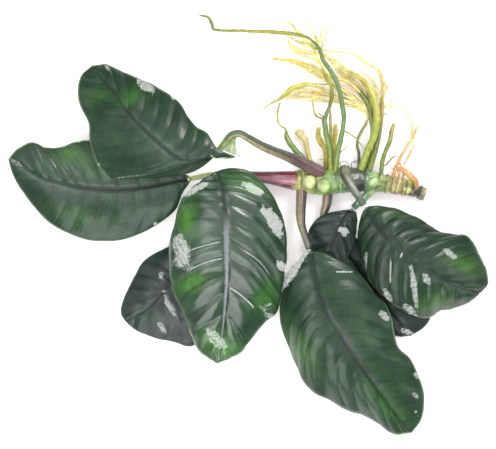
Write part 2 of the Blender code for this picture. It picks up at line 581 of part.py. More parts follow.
def blade(name, leaf, colour):
    """One leaf blade: a quilted sheet between its midrib and its two edges, then given a body."""
    midrib = placed(leaf["midrib"])
    t = blade_rows(leaf["veins"])
    along = np.clip((t - BASAL_PART) / (1 - BASAL_PART), 0, 1)
    middle = smooth_line(midrib, along)
    ahead = unit(smooth_line(midrib, along + 0.01) - smooth_line(midrib, along - 0.01))
    bow = VEIN_BOW * np.clip((t - BASAL_PART) * 6, 0, 1)[:, None]
    columns = {0: middle}
    for side, edge in ((1, "left"), (-1, "right")):
        rim = smooth_line(np.vstack([midrib[:1], placed(leaf[edge]), midrib[-1:]]), t)
        reach = rim - middle
        size = np.linalg.norm(reach, axis=1, keepdims=True)
        up = unit(np.cross(ahead, reach) * side)
        up[t < BASAL_PART] = up[BASAL_VEINS]
        crown = leaf["crown"][0 if side == 1 else 1]
        for column, s in enumerate(BLADE_STEPS, 1):
            arch = 4 * s * (1 - s) * size
            line = middle + reach * s + up * crown * arch - ahead * bow * arch
            columns[side * column] = line
    bm = bmesh.new()
    base = bm.verts.new(middle[0])
    tip = bm.verts.new(middle[-1])
    grid = {}
    share = {base: (0.0, 0.0), tip: (1.0, 0.0)}
    last = len(t) - 1
    for i in range(len(t)):
        for j, line in columns.items():
            if i == 0 or (j == 0 and t[i] <= BASAL_PART):
                grid[i, j] = base
            elif i == last:
                grid[i, j] = tip
            else:
                grid[i, j] = bm.verts.new(line[i])
                share[grid[i, j]] = (t[i], (0, *BLADE_STEPS)[abs(j)])
    order = sorted(columns)
    for i in range(last):
        for j, k in zip(order, order[1:]):
            corners = (grid[i, j], grid[i, k], grid[i + 1, k], grid[i + 1, j])
            corners = tuple(dict.fromkeys(corners))
            if len(corners) > 2:
                bm.faces.new(corners)
    bm.normal_update()
    if sum(f.normal.z * f.calc_area() for f in bm.faces) < 0:
        bmesh.ops.reverse_faces(bm, faces=bm.faces)
    bm.normal_update()
    for v, (at, s) in share.items():
        groove = MIDRIB_GROOVE * (s == 0) * (at < 0.97)
        v.co += v.normal * float(quilt(at, s, leaf["veins"]) - groove) * MM
    bm.normal_update()
    under = {}
    for v, (at, s) in share.items():
        rib = (RIB_DEPTH + (RIB_DEPTH_TIP - RIB_DEPTH) * at) * (s == 0) * (at < 1)
        thick = BLADE_THICK + (BLADE_RIM_THICK - BLADE_THICK) * s + rib
        under[v] = bm.verts.new(v.co - v.normal * thick * MM)
    sheet = list(bm.faces)
    rim_edges = [e for e in bm.edges if e.is_boundary]
    for face in sheet:
        bm.faces.new([under[v] for v in reversed(face.verts)])
    for edge in rim_edges:
        a, b = edge.verts
        bm.faces.new((a, b, under[b], under[a]))
    bmesh.ops.triangulate(bm, faces=bm.faces)
    return add_object(name, bm, colour)


def cut_clear(obj, cutter):
    """Trims the end of a stalk or root where it meets the rhizome, leaving the gap."""
    cut = obj.modifiers.new("clear of the rhizome", "BOOLEAN")
    cut.operation = "DIFFERENCE"
    cut.object = cutter


for old in list(bpy.data.objects):
    bpy.data.objects.remove(old)

rhizome("rhizome", 0.0)
cutter = rhizome("rhizome_clearance", GAP)
cutter.hide_render = True
cutter.display_type = "WIRE"

for leaf_name, leaf in LEAVES.items():
    leaf_colour = "leaf dark" if leaf_name in DARK_LEAVES else "leaf"
    blade("blade_" + leaf_name, leaf, leaf_colour)
    stalk = STALKS[leaf_name]
    cut_clear(stalk_or_root("stalk_" + leaf_name, stalk, STALK_SIDES), cutter)

for root_name, root in ROOTS.items():
    made = stalk_or_root("root_" + root_name, root, ROOT_SIDES)
    if root["path"][0][1] < 30:
        cut_clear(made, cutter)
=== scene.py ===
import bmesh
import bpy
import numpy as np
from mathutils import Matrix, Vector


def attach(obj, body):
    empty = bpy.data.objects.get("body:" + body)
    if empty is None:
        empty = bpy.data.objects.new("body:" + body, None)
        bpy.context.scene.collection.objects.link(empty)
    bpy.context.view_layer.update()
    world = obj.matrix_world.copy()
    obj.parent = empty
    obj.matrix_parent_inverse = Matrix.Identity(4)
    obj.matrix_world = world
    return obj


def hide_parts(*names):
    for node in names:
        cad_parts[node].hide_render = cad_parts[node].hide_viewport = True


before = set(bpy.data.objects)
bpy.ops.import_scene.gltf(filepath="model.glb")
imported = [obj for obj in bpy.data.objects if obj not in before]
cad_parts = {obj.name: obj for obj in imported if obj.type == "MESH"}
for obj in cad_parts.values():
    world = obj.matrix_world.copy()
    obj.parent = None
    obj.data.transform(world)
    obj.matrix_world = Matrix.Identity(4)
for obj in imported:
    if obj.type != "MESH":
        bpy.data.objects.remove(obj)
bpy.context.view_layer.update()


# The leaf blades. Anubias leaves of the quilted kind are thick, stiff and waxy. Each grows as one
# sheet: the side veins hold it down and the flesh between them puffs up. They are dark when old
# and wet here, so they shine. A keel under the midrib carries each blade on its stalk.

MM = 0.001
VIEW_HEIGHT = 1300.0  # millimetres. Places are read from a view from this height
BLADE_THICK = 0.42
RIM_THICK = 0.22
KEEL_DEPTH = 1.5
KEEL_WIDTH = 1.3
QUILT_DEPTH = 1.5
ROWS_PER_VEIN = 20
BASAL_ROWS = 34
RISE = 0.8  # below 1, a pillow rises faster on the side of its vein nearer the stalk
HALF_COLUMNS = 26

LEAVES = {
    "upper_left": {
        "finish": "leaf",
        "crown": (0.03, 0.10),
        "bow": (0.1, 0.1),
        "quilt": (0.22, 0.4),
        "sheen": 0.5,
        "gloss": 0.5,
        "contrast": (0.3, 0.5),
        "age": 0.2,
        "midrib_sheen_paint": 0.05,
        "left_veins": [
            (-24.3, 33, -41.8, 23.5), (-28.3, 32.5, -59.3, 24), (-32.8, 33, -69.3, 24),
            (-37.3, 34.5, -72.3, 28), (-42.8, 39, -75.8, 33), (-49.3, 44.5, -78.3, 39.5),
            (-55.3, 49.5, -80.3, 49), (-60.3, 55.5, -82.3, 58), (-64.8, 62.5, -85.3, 65.5),
            (-71.3, 71, -84.3, 74), (-75.3, 76.5, -80.8, 79),
        ],
        "right_veins": [
            (-26.8, 32.5, -18.3, 44), (-31.3, 33, -25.3, 50), (-38.3, 35.5, -32.3, 54),
            (-45.3, 41.5, -37.8, 61), (-50.3, 46, -44.3, 67.5), (-55.3, 51.5, -53.3, 72.5),
            (-60.3, 57, -62.8, 75.5), (-65.3, 63.5, -69.8, 79.5), (-71.8, 71.5, -74.8, 81),
        ],
        "beads": [
            ("left", 1, 0.3, 0.95, 1), ("left", 2, 0.25, 0.98, 1), ("left", 3, 0.5, 0.98, 1),
        ],
        "fresh": [
            (-57.3, 63, 5, 3, 40, 0.55), (-74.8, 64.5, 6, 3, 10, 0.35),
        ],
        "wet": [
            (-50.8, 69, 5, 2.2, -38, 0.9), (-69.8, 78, 1.8, 0.6, -50, 0.9),
            (-37.5, 63.3, 2, 0.8, -40, 0.9), (-74, 30.5, 0.8, 0.8, 0, 0.9),
        ],
        "sheens": [
            (-42, 38, 12, 5, 10, 0.35), (-72, 62, 10, 6, 60, -0.3), (-60, 32, 16, 5, -10, -0.3),
            (-57, 66, 8, 5, 40, -0.3),
        ],
        "midrib": [
            (-16.4, 34.7, 32.0), (-20.5, 33.4, 33.0), (-27.8, 32.5, 33.5), (-36.0, 34.0, 33.0),
            (-44.3, 40.5, 31.5), (-50.8, 46.5, 29.5), (-57.8, 53.5, 27.0), (-62.8, 60.0, 24.0),
            (-67.3, 66.5, 21.0), (-72.8, 73.0, 17.5), (-78.3, 80.5, 14.0),
        ],
        "left": [
            (-19.6, 33.2, 30.0), (-25.0, 28.4, 25.5), (-32.5, 25.5, 21.5), (-40.8, 24.2, 19.5),
            (-49.5, 23.5, 18.0), (-58.0, 23.9, 17.0), (-67.8, 22.8, 16.5), (-72.5, 27.2, 16.0),
            (-77.0, 34.3, 15.0), (-79.3, 42.5, 14.0), (-80.0, 51.0, 13.5), (-83.5, 58.5, 13.0),
            (-85.3, 66.8, 12.5), (-83.9, 75.0, 12.5),
        ],
        "right": [
            (-6.8, 34.6, 31.2), (-15.5, 39.0, 33.0), (-20.6, 46.3, 31.0), (-26.3, 50.1, 29.5),
            (-30.3, 55.0, 27.0), (-33.9, 61.2, 24.5), (-39.3, 65.5, 22.5), (-45.3, 69.5, 20.5),
            (-51.6, 72.7, 18.5), (-58.3, 75.3, 17.0), (-64.8, 78.0, 15.5), (-71.3, 81.0, 14.0),
        ],
    },
    "left": {
        "finish": "leaf",
        "crown": (0.08, 0.08),
        "bow": (0.1, 0.1),
        "quilt": (0.18, 0.55),
        "sheen": 0.6,
        "gloss": 0.55,
        "contrast": (0.2, 0.6),
        "age": 0.05,
        "midrib_sheen_paint": 0.05,
        "left_veins": [
            (-35.3, 22.5, -36.3, 11.5), (-41.8, 21.5, -45.3, 2), (-49.3, 20, -55.8, -3.5),
            (-57.8, 19, -66.8, -7), (-65.8, 18.5, -75.3, -7.5), (-73.8, 19, -83.3, -6),
            (-81.3, 19.5, -91.3, -3), (-89.3, 21, -99.3, 1), (-97.3, 23, -105.8, 9),
            (-105.3, 25, -111.8, 16), (-112.3, 29, -116.8, 24),
        ],
        "right_veins": [
            (-36, 23, -44, 33), (-45, 21, -55, 38), (-54.3, 19.5, -65, 41.5),
            (-65.3, 18.5, -76.8, 43), (-73.3, 19, -84.3, 42), (-80.3, 19.5, -91.3, 40),
            (-86.8, 20.5, -98.3, 38.5), (-93.3, 22, -102.3, 40.5), (-100.3, 23.5, -107.3, 41.5),
            (-107.3, 26, -113.3, 39), (-113.3, 29.5, -118.3, 36),
        ],
        "beads": [],
        "fresh": [
            (-60, 30, 14, 5, 10, 0.3), (-84, 5, 12, 4, -10, 0.2), (-87, 35, 7, 4, -10, 0.5),
        ],
        "wet": [
            (-116, 31.5, 4.5, 0.8, -30, 0.9), (-84.8, 41.8, 2, 0.6, 0, 0.9),
            (-46.3, 1, 0.8, 0.8, 0, 0.9),
        ],
        "sheens": [
            (-104, 18, 12, 8, 20, 0.5), (-100, 31, 12, 5, 10, 0.3), (-70, 6, 18, 5, -8, -0.3),
        ],
        "midrib": [
            (-28.3, 23.5, 14.0), (-35.0, 23.0, 14.0), (-50.8, 20.0, 13.0), (-63.8, 18.5, 12.0),
            (-79.8, 19.3, 10.5), (-91.3, 21.3, 9.0), (-103.3, 24.0, 7.0), (-112.3, 29.0, 5.0),
            (-120.3, 33.3, 3.0),
        ],
        "left": [
            (-32.8, 16.5, 12.0), (-37.0, 8.0, 10.5), (-44.3, 1.5, 8.5), (-52.8, -3.3, 7.0),
            (-61.9, -6.5, 5.5), (-71.5, -7.7, 4.0), (-81.3, -7.0, 3.0), (-90.3, -3.5, 2.2),
            (-99.0, 1.0, 1.6), (-105.8, 7.5, 1.2), (-111.5, 15.5, 1.0), (-116.9, 23.7, 1.2),
        ],
        "right": [
            (-35.3, 28.2, 12.0), (-41.8, 32.0, 10.5), (-48.8, 35.3, 9.5), (-56.0, 38.5, 8.5),
            (-63.5, 41.3, 8.0), (-71.0, 43.0, 7.5), (-79.0, 43.0, 7.0), (-86.8, 42.0, 6.5),
            (-94.0, 39.5, 6.5), (-101.5, 39.5, 5.5), (-108.3, 41.8, 5.0), (-115.5, 38.7, 3.5),
        ],
    },
    "centre": {
        "finish": "leaf",
        "crown": (0.10, 0.10),
        "bow": (0.09, 0.1),
        "quilt": (0.8, 0.8),
        "sheen": 0.66,
        "gloss": 1,
        "contrast": (1, 1),
        "age": 0,
        "midrib_sheen_paint": 0.95,
        "left_veins": [
            (-13.8, 21.5, 15.8, 9), (-11.8, 18, 17.8, 0), (-10.8, 11.5, 18.8, -12),
            (-10.8, 2.5, 18.3, -23), (-10.8, -6, 16.3, -33.5), (-10.8, -15.5, 15.3, -40),
            (-11.3, -29, 8.8, -48.5), (-12.3, -43, -0.8, -59.5), (-13.8, -56, -8.3, -66),
        ],
        "right_veins": [
            (-13.3, 18, -30.3, 17.5), (-11.8, 11.5, -35.3, 10), (-11.3, 2, -37.3, 0.5),
            (-10.8, -7, -39.3, -19), (-10.8, -15.5, -39.3, -28.5), (-11.3, -24, -35.3, -39),
            (-11.8, -33, -31.8, -48), (-12.8, -43, -27.8, -57.5), (-13.8, -53, -21.3, -65.5),
        ],
        "beads": [
            ("left", 5, 0.25, 0.78, 1), ("left", 7, 0, 0.7, 1), ("left", 8, 0.15, 0.85, 0.8),
            ("right", 4, 0.05, 0.98, 1), ("right", 5, 0.02, 0.7, 1),
        ],
        "fresh": [
            (-30.3, 3.5, 7, 4, 90, 0.9), (-27.5, -28, 6, 3.5, 25, 0.8),
            (-13, -60, 9, 5, -30, 0.8), (0, 20, 8, 4, -20, 0.5), (8, -35, 6, 5, 60, 0.5),
        ],
        "wet": [
            (-32.8, -12, 10, 4, 100, 0.75), (12.3, 2, 8, 3, -58, 0.8),
            (2.3, 18, 6, 1.8, -28, 0.8), (16.3, -20, 3.5, 2, -50, 0.85),
            (-16.3, -56, 6, 2.5, -55, 0.85), (9.8, -43, 7, 4, -60, 0.45),
            (-26.8, 17.5, 7, 1.5, 25, 0.9),
        ],
        "sheens": [
            (-13.5, 24, 7, 3, 90, -1), (-6, 25, 6, 3, -20, -0.7), (-30.3, 4, 7, 3.5, 80, -0.9),
            (-24, 10, 5, 4, 0, -0.4), (-27.5, -28, 6, 3.5, 25, -0.9), (-19, -24.5, 6, 1.6, 12, -0.7), (7, -35, 7, 5, 50, -0.9),
            (1, -50, 11, 3.5, 62, -0.9), (-20, -59, 4, 2.5, -50, -0.5),
            (13, -10, 5, 4, -50, -0.4), (14, 14, 8, 3, -60, -0.5), (-34, -34, 9, 3, -70, -0.5),
        ],
        "midrib": [
            (-16.4, 27.0, 27.8), (-13.3, 18.0, 30.0), (-11.3, 5.5, 30.5), (-10.8, -9.5, 29.0),
            (-10.8, -24.5, 25.5), (-11.8, -39.5, 20.0), (-13.3, -54.5, 13.0), (-15.8, -69.0, 5.5),
        ],
        "left": [
            (-9.0, 29.3, 28.0), (0.0, 27.5, 27.0), (7.3, 21.5, 25.0), (14.8, 10.5, 22.0),
            (18.8, -2.5, 19.5), (19.0, -15.5, 17.5), (17.3, -29.0, 15.5), (14.3, -42.5, 12.5),
            (4.8, -52.0, 9.5), (-3.8, -63.0, 7.0),
        ],
        "right": [
            (-22.3, 23.5, 26.5), (-30.8, 16.8, 23.5), (-34.4, 11.5, 23.5), (-36.8, 2.8, 21.0),
            (-38.6, -5.8, 19.0), (-39.8, -14.5, 17.5), (-39.4, -23.5, 16.0), (-37.7, -32.3, 14.5),
            (-34.3, -40.0, 13.0), (-31.0, -48.5, 11.0), (-28.0, -56.8, 9.0), (-23.0, -64.0, 7.0),
        ],
    },
    "low_left": {
        "finish": "leaf_dark",
        "crown": (0.07, 0.07),
        "bow": (0.08, 0.08),
        "quilt": (0.25, 0.25),
        "sheen": 0.5,
        "gloss": 0.55,
        "contrast": (0.2, 0.2),
        "age": 0,
        "midrib_sheen_paint": 0.1,
        "left_veins": [
            (-26, -16, -14, -27), (-32.3, -21.5, -16.8, -37), (-36.8, -26, -21.8, -49.5),
            (-40.8, -31, -29.3, -59.5), (-44.3, -35, -40.3, -58), (-50, -41, -51.8, -54),
        ],
        "right_veins": [
            (-25, -15.5, -34, -8), (-31.3, -20.5, -44.3, -11.5), (-36.8, -26, -51.3, -17),
            (-40.3, -30, -56.3, -23), (-43.8, -34.5, -60.3, -30.5), (-51, -41.5, -63.3, -38),
        ],
        "beads": [],
        "fresh": [
            (-52, -44, 6, 4, 0, 0.4),
        ],
        "wet": [
            (-41.8, -25.5, 3.5, 1.5, -40, 0.85), (-38.5, -40, 7.5, 2, -60, 0.8),
            (-43, -51, 3.5, 1.5, -60, 0.85),
        ],
        "sheens": [],
        "midrib": [
            (-20.8, -12.0, 9.0), (-29.3, -18.5, 9.5), (-36.8, -26.0, 9.5), (-43.8, -34.5, 8.0),
            (-51.3, -42.0, 5.5), (-61.8, -47.5, 2.0),
        ],
        "left": [
            (-16.3, -16.0, 8.5), (-13.8, -24.5, 7.0), (-13.8, -34.5, 5.5), (-16.8, -44.5, 4.0),
            (-21.3, -53.0, 2.5), (-27.8, -60.0, 1.3), (-35.8, -58.5, 1.0), (-44.3, -56.5, 1.0),
            (-51.8, -54.3, 1.0), (-57.8, -51.3, 1.2),
        ],
        "right": [
            (-24.3, -7.5, 8.5), (-32.3, -7.5, 7.0), (-39.8, -10.3, 5.5), (-46.8, -13.3, 4.5),
            (-52.8, -18.0, 3.5), (-56.5, -24.0, 2.5), (-60.0, -30.5, 2.0), (-63.0, -37.5, 1.5),
            (-63.8, -43.5, 1.5),
        ],
    },
    "lower_right": {
        "finish": "leaf",
        "crown": (0.09, 0.12),
        "bow": (0.14, 0.2),
        "quilt": (0.15, 0.55),
        "sheen": 0.55,
        "gloss": 0.5,
        "contrast": (0.15, 0.7),
        "age": 0.15,
        "midrib_sheen_paint": 0.1,
        "left_veins": [
            (31.8, -18, 53.3, -23), (34.8, -29.5, 62.3, -35.5), (37.3, -38.5, 69.8, -42),
            (41.3, -47, 72.3, -53), (45.8, -55, 73.3, -60), (50.3, -62, 77.3, -63),
            (61.8, -79, 86.3, -79), (71.8, -91.5, 87.3, -89.5), (77.8, -98.5, 85.8, -97),
        ],
        "right_veins": [
            (31.3, -18, 16.3, -31.5), (32.8, -24.5, 15.8, -46), (34.8, -32, 20.3, -61),
            (37.8, -41, 24.3, -73), (41.3, -48, 29.8, -81), (44.3, -53, 39.8, -86.5),
            (49.8, -62, 48.3, -92.5), (54.8, -69, 56.8, -94.5), (59.3, -75, 64.8, -99),
            (64.8, -82.5, 72.8, -103), (70.8, -90, 77.8, -104),
        ],
        "beads": [
            ("left", 1, 0.3, 0.9, 0.6),
        ],
        "fresh": [
            (24, -60, 10, 5, -50, 0.5), (70, -90, 10, 4, -40, 0.4),
        ],
        "wet": [
            (67.3, -44.5, 3.5, 1.6, -45, 0.9), (84.3, -74.5, 2.3, 1.4, -45, 0.9),
            (83, -84.3, 2.2, 1, -45, 0.9), (83.3, -92.5, 0.7, 0.7, 0, 1),
            (45.8, -22.5, 4, 0.4, 0, 0.9), (21.3, -22.5, 12, 2.2, 57, 0.85),
        ],
        "sheens": [
            (36, -73, 13, 3, 88, -0.7), (50, -69.5, 5, 2, 75, -0.5),
            (53.5, -76, 4, 1.6, 70, -0.5), (71, -71, 12, 4, -15, -0.8),
            (75, -91, 12, 7, -45, -0.7), (18.5, -44, 14, 3.5, 85, -0.6),
            (40, -33, 12, 4, -55, -0.25), (56, -95, 15, 2.5, -38, 0.6),
            (72, -63.5, 10, 2, -35, 0.6), (66, -103, 9, 2, -35, 0.5),
        ],
        "midrib": [
            (30.8, -12.5, 20.5), (32.3, -21.0, 22.5), (35.5, -34.5, 23.5), (38.8, -43.0, 23.0),
            (43.8, -51.5, 21.5), (50.8, -62.4, 18.5), (56.3, -70.0, 16.0), (63.3, -79.8, 12.0),
            (68.8, -88.0, 8.5), (75.5, -96.5, 5.0), (81.8, -103.5, 2.0),
        ],
        "left": [
            (38.6, -13.7, 21.0), (45.8, -17.2, 20.5), (52.6, -21.4, 19.5), (58.0, -27.0, 18.5),
            (62.8, -33.3, 17.0), (68.6, -38.7, 15.5), (71.6, -46.0, 14.0), (73.2, -53.9, 12.0),
            (75.3, -61.2, 10.5), (81.1, -66.8, 8.5), (84.9, -73.7, 6.5), (87.4, -81.3, 5.0),
            (87.9, -89.3, 3.5), (86.4, -97.0, 2.5),
        ],
        "right": [
            (23.4, -18.0, 15.0), (18.5, -25.3, 11.5), (15.8, -34.0, 9.5), (15.3, -43.1, 8.5),
            (16.7, -52.1, 7.5), (20.0, -60.5, 6.5), (23.3, -68.8, 5.5), (26.9, -76.8, 4.5),
            (33.0, -83.6, 3.5), (41.0, -87.6, 2.8), (49.0, -92.1, 2.2), (57.5, -94.9, 1.6),
            (65.3, -99.5, 1.2), (72.8, -104.3, 1.0),
        ],
    },
    "small_middle": {
        "finish": "leaf_dark",
        "crown": (0.05, 0.07),
        "bow": (0.1, 0.1),
        "quilt": (0.3, 0.3),
        "sheen": 0.5,
        "gloss": 0.45,
        "contrast": (0.2, 0.2),
        "age": 0,
        "midrib_sheen_paint": 0.1,
        "left_veins": [
            (50.3, 6, 53.8, -1), (47.8, 2.5, 52.8, -9), (45.3, -2.5, 50.3, -15),
            (42.8, -8, 47.3, -21), (40.3, -16, 43.5, -28),
        ],
        "right_veins": [
            (49.3, 5, 38.3, 6.5), (46.8, 1, 32.3, 0.5), (44.3, -4, 29.8, -6),
            (41.8, -10.5, 30.8, -14), (40.3, -17, 32.3, -22),
        ],
        "beads": [],
        "fresh": [
            (40, -5, 5, 3, 0, 0.2),
        ],
        "wet": [
            (47.5, -2.8, 7, 3.5, -20, 0.42),
        ],
        "sheens": [],
        "midrib": [
            (51.8, 8.3, 10.5), (47.3, 2.0, 12.5), (43.0, -7.0, 13.0), (40.3, -16.0, 12.0),
            (38.8, -25.0, 10.0), (38.3, -35.0, 7.5),
        ],
        "left": [
            (54.0, 6.0, 10.5), (54.5, 2.0, 9.5), (54.2, -2.5, 9.5), (53.0, -7.0, 9.0),
            (51.5, -11.5, 9.0), (49.5, -16.0, 8.5), (47.3, -21.0, 8.0), (44.8, -26.5, 7.5),
            (41.8, -31.5, 7.3),
        ],
        "right": [
            (48.3, 7.8, 11.0), (43.8, 7.5, 11.0), (39.3, 6.5, 10.5), (34.8, 4.3, 10.0),
            (31.8, 1.0, 9.5), (29.8, -3.5, 9.0), (30.0, -8.0, 8.5), (31.8, -14.0, 8.0),
            (33.3, -20.5, 7.5), (34.3, -27.0, 7.0), (35.8, -32.0, 7.0),
        ],
    },
    "right": {
        "finish": "leaf",
        "crown": (0.09, 0.10),
        "bow": (0.1, 0.08),
        "quilt": (0.5, 0.6),
        "sheen": 0.4,
        "gloss": 0.45,
        "contrast": (0.7, 0.7),
        "age": 0.6,
        "midrib_sheen_paint": 0.1,
        "left_veins": [
            (61.8, 5, 70.8, 10), (66.3, -1.5, 81.8, 6.5), (70.8, -7, 89.8, 1),
            (75.3, -11, 97.3, -2.5), (80.8, -15.5, 104.8, -4.5), (86.8, -20.5, 110.8, -7.5),
            (92.8, -24.5, 114.3, -14), (98.8, -28, 117.3, -20), (105.3, -30.5, 119.8, -26.5),
        ],
        "right_veins": [
            (59.8, 7, 54.8, -3), (62.3, 3, 55.3, -13), (65.8, -1.5, 57.8, -21),
            (69.8, -6, 63.8, -31), (74.3, -10.5, 70.3, -37.5), (79.8, -15, 76.8, -41.5),
            (85.3, -19.5, 82.8, -45), (91.3, -23.5, 89.8, -46), (97.3, -27, 96.3, -42.5),
            (104.3, -30.5, 103.8, -41.5), (109.8, -32, 110.8, -38.5),
        ],
        "beads": [
            ("right", 1, 0.3, 0.9, 0.7), ("right", 5, 0.4, 0.8, 0.6),
        ],
        "fresh": [
            (106, -19, 8, 4, -20, 0.9), (92, -38, 8, 4, 20, 0.8), (72, 6, 7, 2, -10, 0.4),
        ],
        "wet": [
            (81.5, -30, 10, 1.4, -80, 0.85), (87.5, -25.8, 3.8, 1.6, -65, 0.85),
            (99.3, -13.8, 3.7, 1.4, -35, 0.85), (68.5, -34.3, 4.5, 1.6, -60, 0.8),
            (79.8, -41.3, 5, 1.6, -45, 0.85), (75, -14.3, 1.3, 0.6, 60, 0.9),
            (58, -17, 4.5, 1, 90, 0.75), (69.8, -22.8, 6, 0.5, 90, 0.7),
            (114, -35.8, 5, 1.5, 30, 0.85),
        ],
        "sheens": [
            (106, -25, 13, 9, -30, 0.6), (88, -4, 14, 6, -25, -0.25), (90, -42, 10, 3, 0, 0.3),
        ],
        "midrib": [
            (58.3, 9.3, 18.5), (62.3, 3.5, 20.5), (67.3, -3.0, 22.5), (72.8, -8.5, 24.0),
            (79.8, -15.0, 24.0), (87.3, -21.0, 22.0), (95.8, -26.5, 18.5), (104.8, -30.5, 13.5),
            (115.8, -33.5, 7.5),
        ],
        "left": [
            (64.5, 10.2, 18.0), (71.3, 9.5, 17.5), (77.9, 7.5, 17.0), (84.0, 4.5, 16.5),
            (89.8, 0.9, 15.5), (95.8, -2.3, 14.5), (102.5, -4.0, 13.5), (109.1, -5.2, 12.5),
            (113.6, -10.0, 11.0), (116.5, -16.2, 9.5), (119.2, -22.2, 8.0), (119.9, -28.8, 7.0),
        ],
        "right": [
            (55.8, 2.1, 14.5), (54.6, -5.3, 12.5), (55.3, -12.7, 12.5), (57.3, -19.9, 12.5),
            (60.3, -26.8, 13.0), (64.8, -32.5, 13.5), (70.3, -37.7, 12.5), (76.6, -41.5, 10.5),
            (83.1, -45.0, 7.5), (90.3, -45.8, 5.0), (96.3, -42.5, 4.0), (103.7, -41.3, 4.0),
            (110.5, -38.5, 5.0),
        ],
    },
    "lowest": {
        "finish": "leaf_dark",
        "crown": (0.05, 0.05),
        "bow": (0.1, 0.1),
        "quilt": (0.3, 0.3),
        "sheen": 0.4,
        "gloss": 0.35,
        "contrast": (0.3, 0.3),
        "age": 0,
        "midrib_sheen_paint": 0.1,
        "left_veins": [
            (43, -7, 52, -4), (46.8, -12, 60.8, -12), (54.8, -22, 75, -26), (62.8, -33, 85, -36),
            (70.8, -43.5, 90, -43),
        ],
        "right_veins": [
            (43, -7, 40, -13), (46.8, -12, 42, -18), (54.8, -22, 48, -30), (62.8, -33, 57, -41),
            (70.8, -43.5, 67, -51),
        ],
        "beads": [],
        "fresh": [
            (70, -48, 5, 3, 0, 0.2),
        ],
        "wet": [
            (79.5, -53.3, 3.3, 1.4, -20, 0.85),
        ],
        "sheens": [
            (66, -42, 6, 3, -40, 0.5),
        ],
        "midrib": [
            (39.8, -3.0, 4.8), (46.8, -12.0, 5.2), (54.8, -22.0, 5.0), (62.8, -33.0, 4.5),
            (70.8, -43.5, 3.5), (81.3, -55.0, 1.5),
        ],
        "left": [
            (45.8, -1.0, 4.8), (52.8, -5.0, 4.5), (59.8, -11.0, 4.2), (66.8, -18.0, 4.0),
            (74.3, -25.5, 3.5), (81.8, -32.5, 3.0), (88.3, -39.0, 2.2), (90.8, -45.5, 1.5),
            (87.5, -51.0, 1.2),
        ],
        "right": [
            (38.3, -8.5, 4.5), (40.8, -16.0, 4.0), (44.8, -24.5, 3.5), (49.8, -32.5, 2.8),
            (55.8, -40.0, 2.2), (62.3, -47.0, 1.6), (68.8, -52.5, 1.2), (74.8, -55.3, 1.0),
        ],
    },
}


def placed(points):
    """Puts places read from above where they are, in metres: what is higher comes in a little."""
    points = np.array(points, float)
    points[:, :2] *= 1 - points[:, 2:] / VIEW_HEIGHT
    return points * MM


def smooth_line(points, where):
    """A smooth curve through the points, read at each place from 0, its start, to 1, its end."""
    points = np.asarray(points, float)
    if points.ndim == 1:
        points = points[:, None]
    ends = np.vstack([2 * points[0] - points[1], points, 2 * points[-1] - points[-2]])
    spot = np.clip(np.asarray(where, float), 0, 1) * (len(points) - 1)
    first = np.minimum(spot.astype(int), len(points) - 2)
    u = (spot - first)[:, None]
    a, b, c, d = (ends[first + k] for k in range(4))
    return b + 0.5 * u * (c - a + u * (2 * a - 5 * b + 4 * c - d + u * (3 * (b - c) + d - a)))


def unit(vectors):
    return vectors / np.maximum(np.linalg.norm(vectors, axis=-1, keepdims=True), 1e-12)


def linear(hex_colour):
    """An sRGB hex colour as the linear RGBA that a shader takes."""
    parts = (int(hex_colour[i : i + 2], 16) / 255 for i in (0, 2, 4))
    return (*(c / 12.92 if c <= 0.04045 else ((c + 0.055) / 1.055) ** 2.4 for c in parts), 1)


def add_node(tree, kind, inputs=None, **settings):
    """Adds a node. inputs maps its sockets, by name or number, to values or to other sockets."""
    node = tree.nodes.new(kind)
    for name, value in settings.items():
        setattr(node, name, value)
    for socket, value in (inputs or {}).items():
        if isinstance(value, bpy.types.NodeSocket):
            tree.links.new(value, node.inputs[socket])
        else:
            node.inputs[socket].default_value = value
    return node


def ramp(tree, factor, stops, interpolation="LINEAR"):
    """A colour ramp whose stops are (place, hex colour) or (place, grey value)."""
    node = add_node(tree, "ShaderNodeValToRGB", {0: factor})
    band = node.color_ramp
    band.interpolation = interpolation
    while len(band.elements) < len(stops):
        band.elements.new(0.5)
    for element, (place, tone) in zip(band.elements, stops):
        element.position = place
        element.color = linear(tone) if isinstance(tone, str) else (tone, tone, tone, 1)
    return node.outputs[0]


def blend_colours(tree, factor, first, second, kind="MIX"):
    node = add_node(tree, "ShaderNodeMix", {}, data_type="RGBA", blend_type=kind)
    for socket, value in ((0, factor), (6, first), (7, second)):
        if isinstance(value, bpy.types.NodeSocket):
            tree.links.new(value, node.inputs[socket])
        else:
            node.inputs[socket].default_value = linear(value) if isinstance(value, str) else value
    return node.outputs[2]


def maths(tree, operation, first, second=0.0, clamp=False):
    made = add_node(
        tree, "ShaderNodeMath", {0: first, 1: second}, operation=operation, use_clamp=clamp
    )
    return made.outputs[0]


def attribute(tree, key, output="Fac"):
    return add_node(tree, "ShaderNodeAttribute", attribute_name=key).outputs[output]


def noise(tree, scale, detail=3.0, roughness=0.5, vector=None):
    """Soft noise from 0 to 1. The scale is waves in a metre of the plant."""
    if vector is None:
        vector = add_node(tree, "ShaderNodeTexCoord").outputs["Object"]
    inputs = {"Vector": vector, "Scale": scale, "Detail": detail, "Roughness": roughness}
    return add_node(tree, "ShaderNodeTexNoise", inputs).outputs["Fac"]


FILM_LEAN = (0.21, 0.25)


